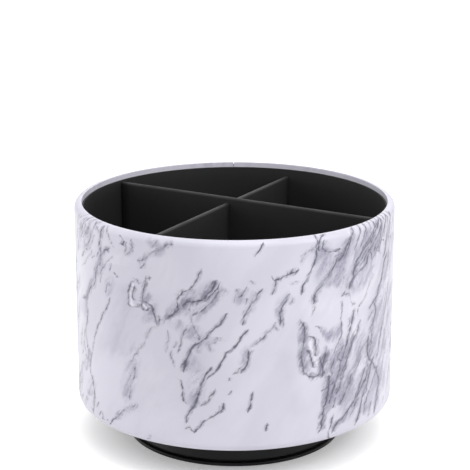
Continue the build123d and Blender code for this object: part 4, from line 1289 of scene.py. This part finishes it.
def floor():
    """A white floor whose glow fades out round the object's shadow, so the shadow is real but how dark and
    how far it reaches is partly painted, and which isn't seen from below.
    """
    bm = bmesh.new()
    bmesh.ops.create_circle(bm, cap_ends=True, segments=64, radius=FLOOR_RADIUS)
    mesh = bpy.data.meshes.new("studio_floor")
    bm.to_mesh(mesh)
    bm.free()
    ground = placed("studio_floor", mesh)
    material, tree, shader = new_material(
        "studio_floor", base_color=(0.85, 0.85, 0.85, 1), roughness=0.9, specular_ior_level=0.0,
        emission_color=(1, 1, 1, 1),
    )
    path = tree.nodes.new("ShaderNodeLightPath").outputs
    away = put(tree, "VectorMath", {0: object_place(tree)}, operation="LENGTH").node.outputs["Value"]
    seen = larger(tree, path["Is Camera Ray"], path["Is Glossy Ray"])
    # weaker glow near the axis: how dark and how far the floor's shadow reaches is partly painted shadow
    glow = product(tree, seen, remap(tree, away, *PAINTED_SHADOW_RADII, *FLOOR_GLOW, kind="LINEAR"))
    tree.links.new(glow, shader.inputs["Emission Strength"])
    behind = tree.nodes.new("ShaderNodeNewGeometry").outputs["Backfacing"]
    clear = tree.nodes.new("ShaderNodeBsdfTransparent").outputs[0]
    hidden = product(tree, behind, path["Is Camera Ray"])
    blend = put(tree, "MixShader", {0: hidden, 1: shader.outputs[0], 2: clear})
    tree.links.new(blend, tree.nodes["Material Output"].inputs["Surface"])
    mesh.materials.append(material)


def camera():
    """The photo's camera."""
    data = bpy.data.cameras.new("camera")
    data.lens = LENS
    holder = placed("camera", data)
    back = direction(VIEW_AZIMUTH, VIEW_ELEVATION)
    holder.location = VIEW_TARGET + back * VIEW_DISTANCE
    holder.rotation_euler = (-back).to_track_quat("-Z", "Y").to_euler()
    bpy.context.scene.camera = holder


GRAIN = grain_effect()
FINISHES = {
    "marble_leather": marble_leather(),
    "black_lining": black_sheet("black_lining", linear(33, 33, 34), shine=0.3),
    "divider_cover": black_sheet("divider_cover", linear(40, 40, 41), folded=True),
    "base_plastic": moulded_plastic("base_plastic", linear(17, 17, 18), 0.42, shine=0.22),
    "turntable_plastic": moulded_plastic("turntable_plastic", linear(44, 44, 45), 0.5),
    "cage_nylon": moulded_plastic("cage_nylon", linear(232, 230, 220), 0.45),
    "washer_plastic": moulded_plastic("washer_plastic", linear(236, 236, 232), 0.35),
    "foot_rubber": moulded_plastic("foot_rubber", linear(46, 46, 46), 0.8, depth=0.00003),
    "race_steel": worked_metal("race_steel", (0.62, 0.62, 0.63, 1), 0.32),
    "ball_steel": worked_metal("ball_steel", (0.75, 0.75, 0.77, 1), 0.06),
    "pin_steel": worked_metal("pin_steel", (0.6, 0.6, 0.61, 1), 0.25, turning=0.000008),
    "spring_steel": worked_metal("spring_steel", (0.25, 0.25, 0.28, 1), 0.3),
    "zinc_screws": worked_metal("zinc_screws", (0.66, 0.66, 0.68, 1), 0.28),
    "wall_board": grey_board("wall_board", linear(176, 164, 146)),
    "floor_board": grey_board("floor_board", linear(168, 146, 118)),
    "divider_board": grey_board("divider_board", linear(170, 156, 136)),
    "bottom_cover": felt("bottom_cover", linear(40, 40, 41)),
}
for row in frame["record"]["subparts"]:
    node = frame["nodes"][row["node"]]
    node.data.materials.clear()
    node.data.materials.append(FINISHES[row["material_slot"]])

marble_leather_wrap()
wall_lining_sheet()
main_y, cross_x = DIVIDER_PLACES
folded_cover("main_divider_folded_cover", "main_divider_cover", cross_x, 0.0, SLOT_TOP)
folded_cover("cross_divider_folded_cover", "cross_divider_cover", main_y, SLOT_TOP - SLOT_PLAY, OPEN_END)
for foot in range(1, 5):
    rubber_foot(foot)
spring_nut()
# Heads of the screws, as (radius, height) in millimetres from the axis down
pan_head = [(0, 0), (2.2, 0), *arc((2.3, -0.9), 0.9, 90, 0, 5), (3.2, -1.8)]
screws(
    "pan_head_screws", "top_plate_screws", "barrel", pan_head,
    radius=1.5 * MM, circle=26 * MM, count=4, start=0,
)
flat_head = [(0, 0), (2.5, 0), (2.6, -0.1), (1.4, -1.4)]
screws(
    "countersunk_screws", "lower_plate_screws", "base", flat_head,
    radius=1.4 * MM, circle=18 * MM, count=3, start=30,
)

white_surroundings()
floor()
softbox("right_softbox", 57, 34, 1.1, 0.55, RIGHT_LAMP)
softbox("front_softbox", 20, 52, 1.2, 1.0, FRONT_LAMP)
softbox("left_softbox", -95, 18, 1.1, 0.9, LEFT_LAMP)
softbox("top_softbox", 10, 80, 1.2, 1.0, TOP_LAMP)
softbox("back_softbox", 170, 32, 1.2, 1.0, BACK_LAMP)
camera()
bpy.context.scene.view_settings.view_transform = "Standard"
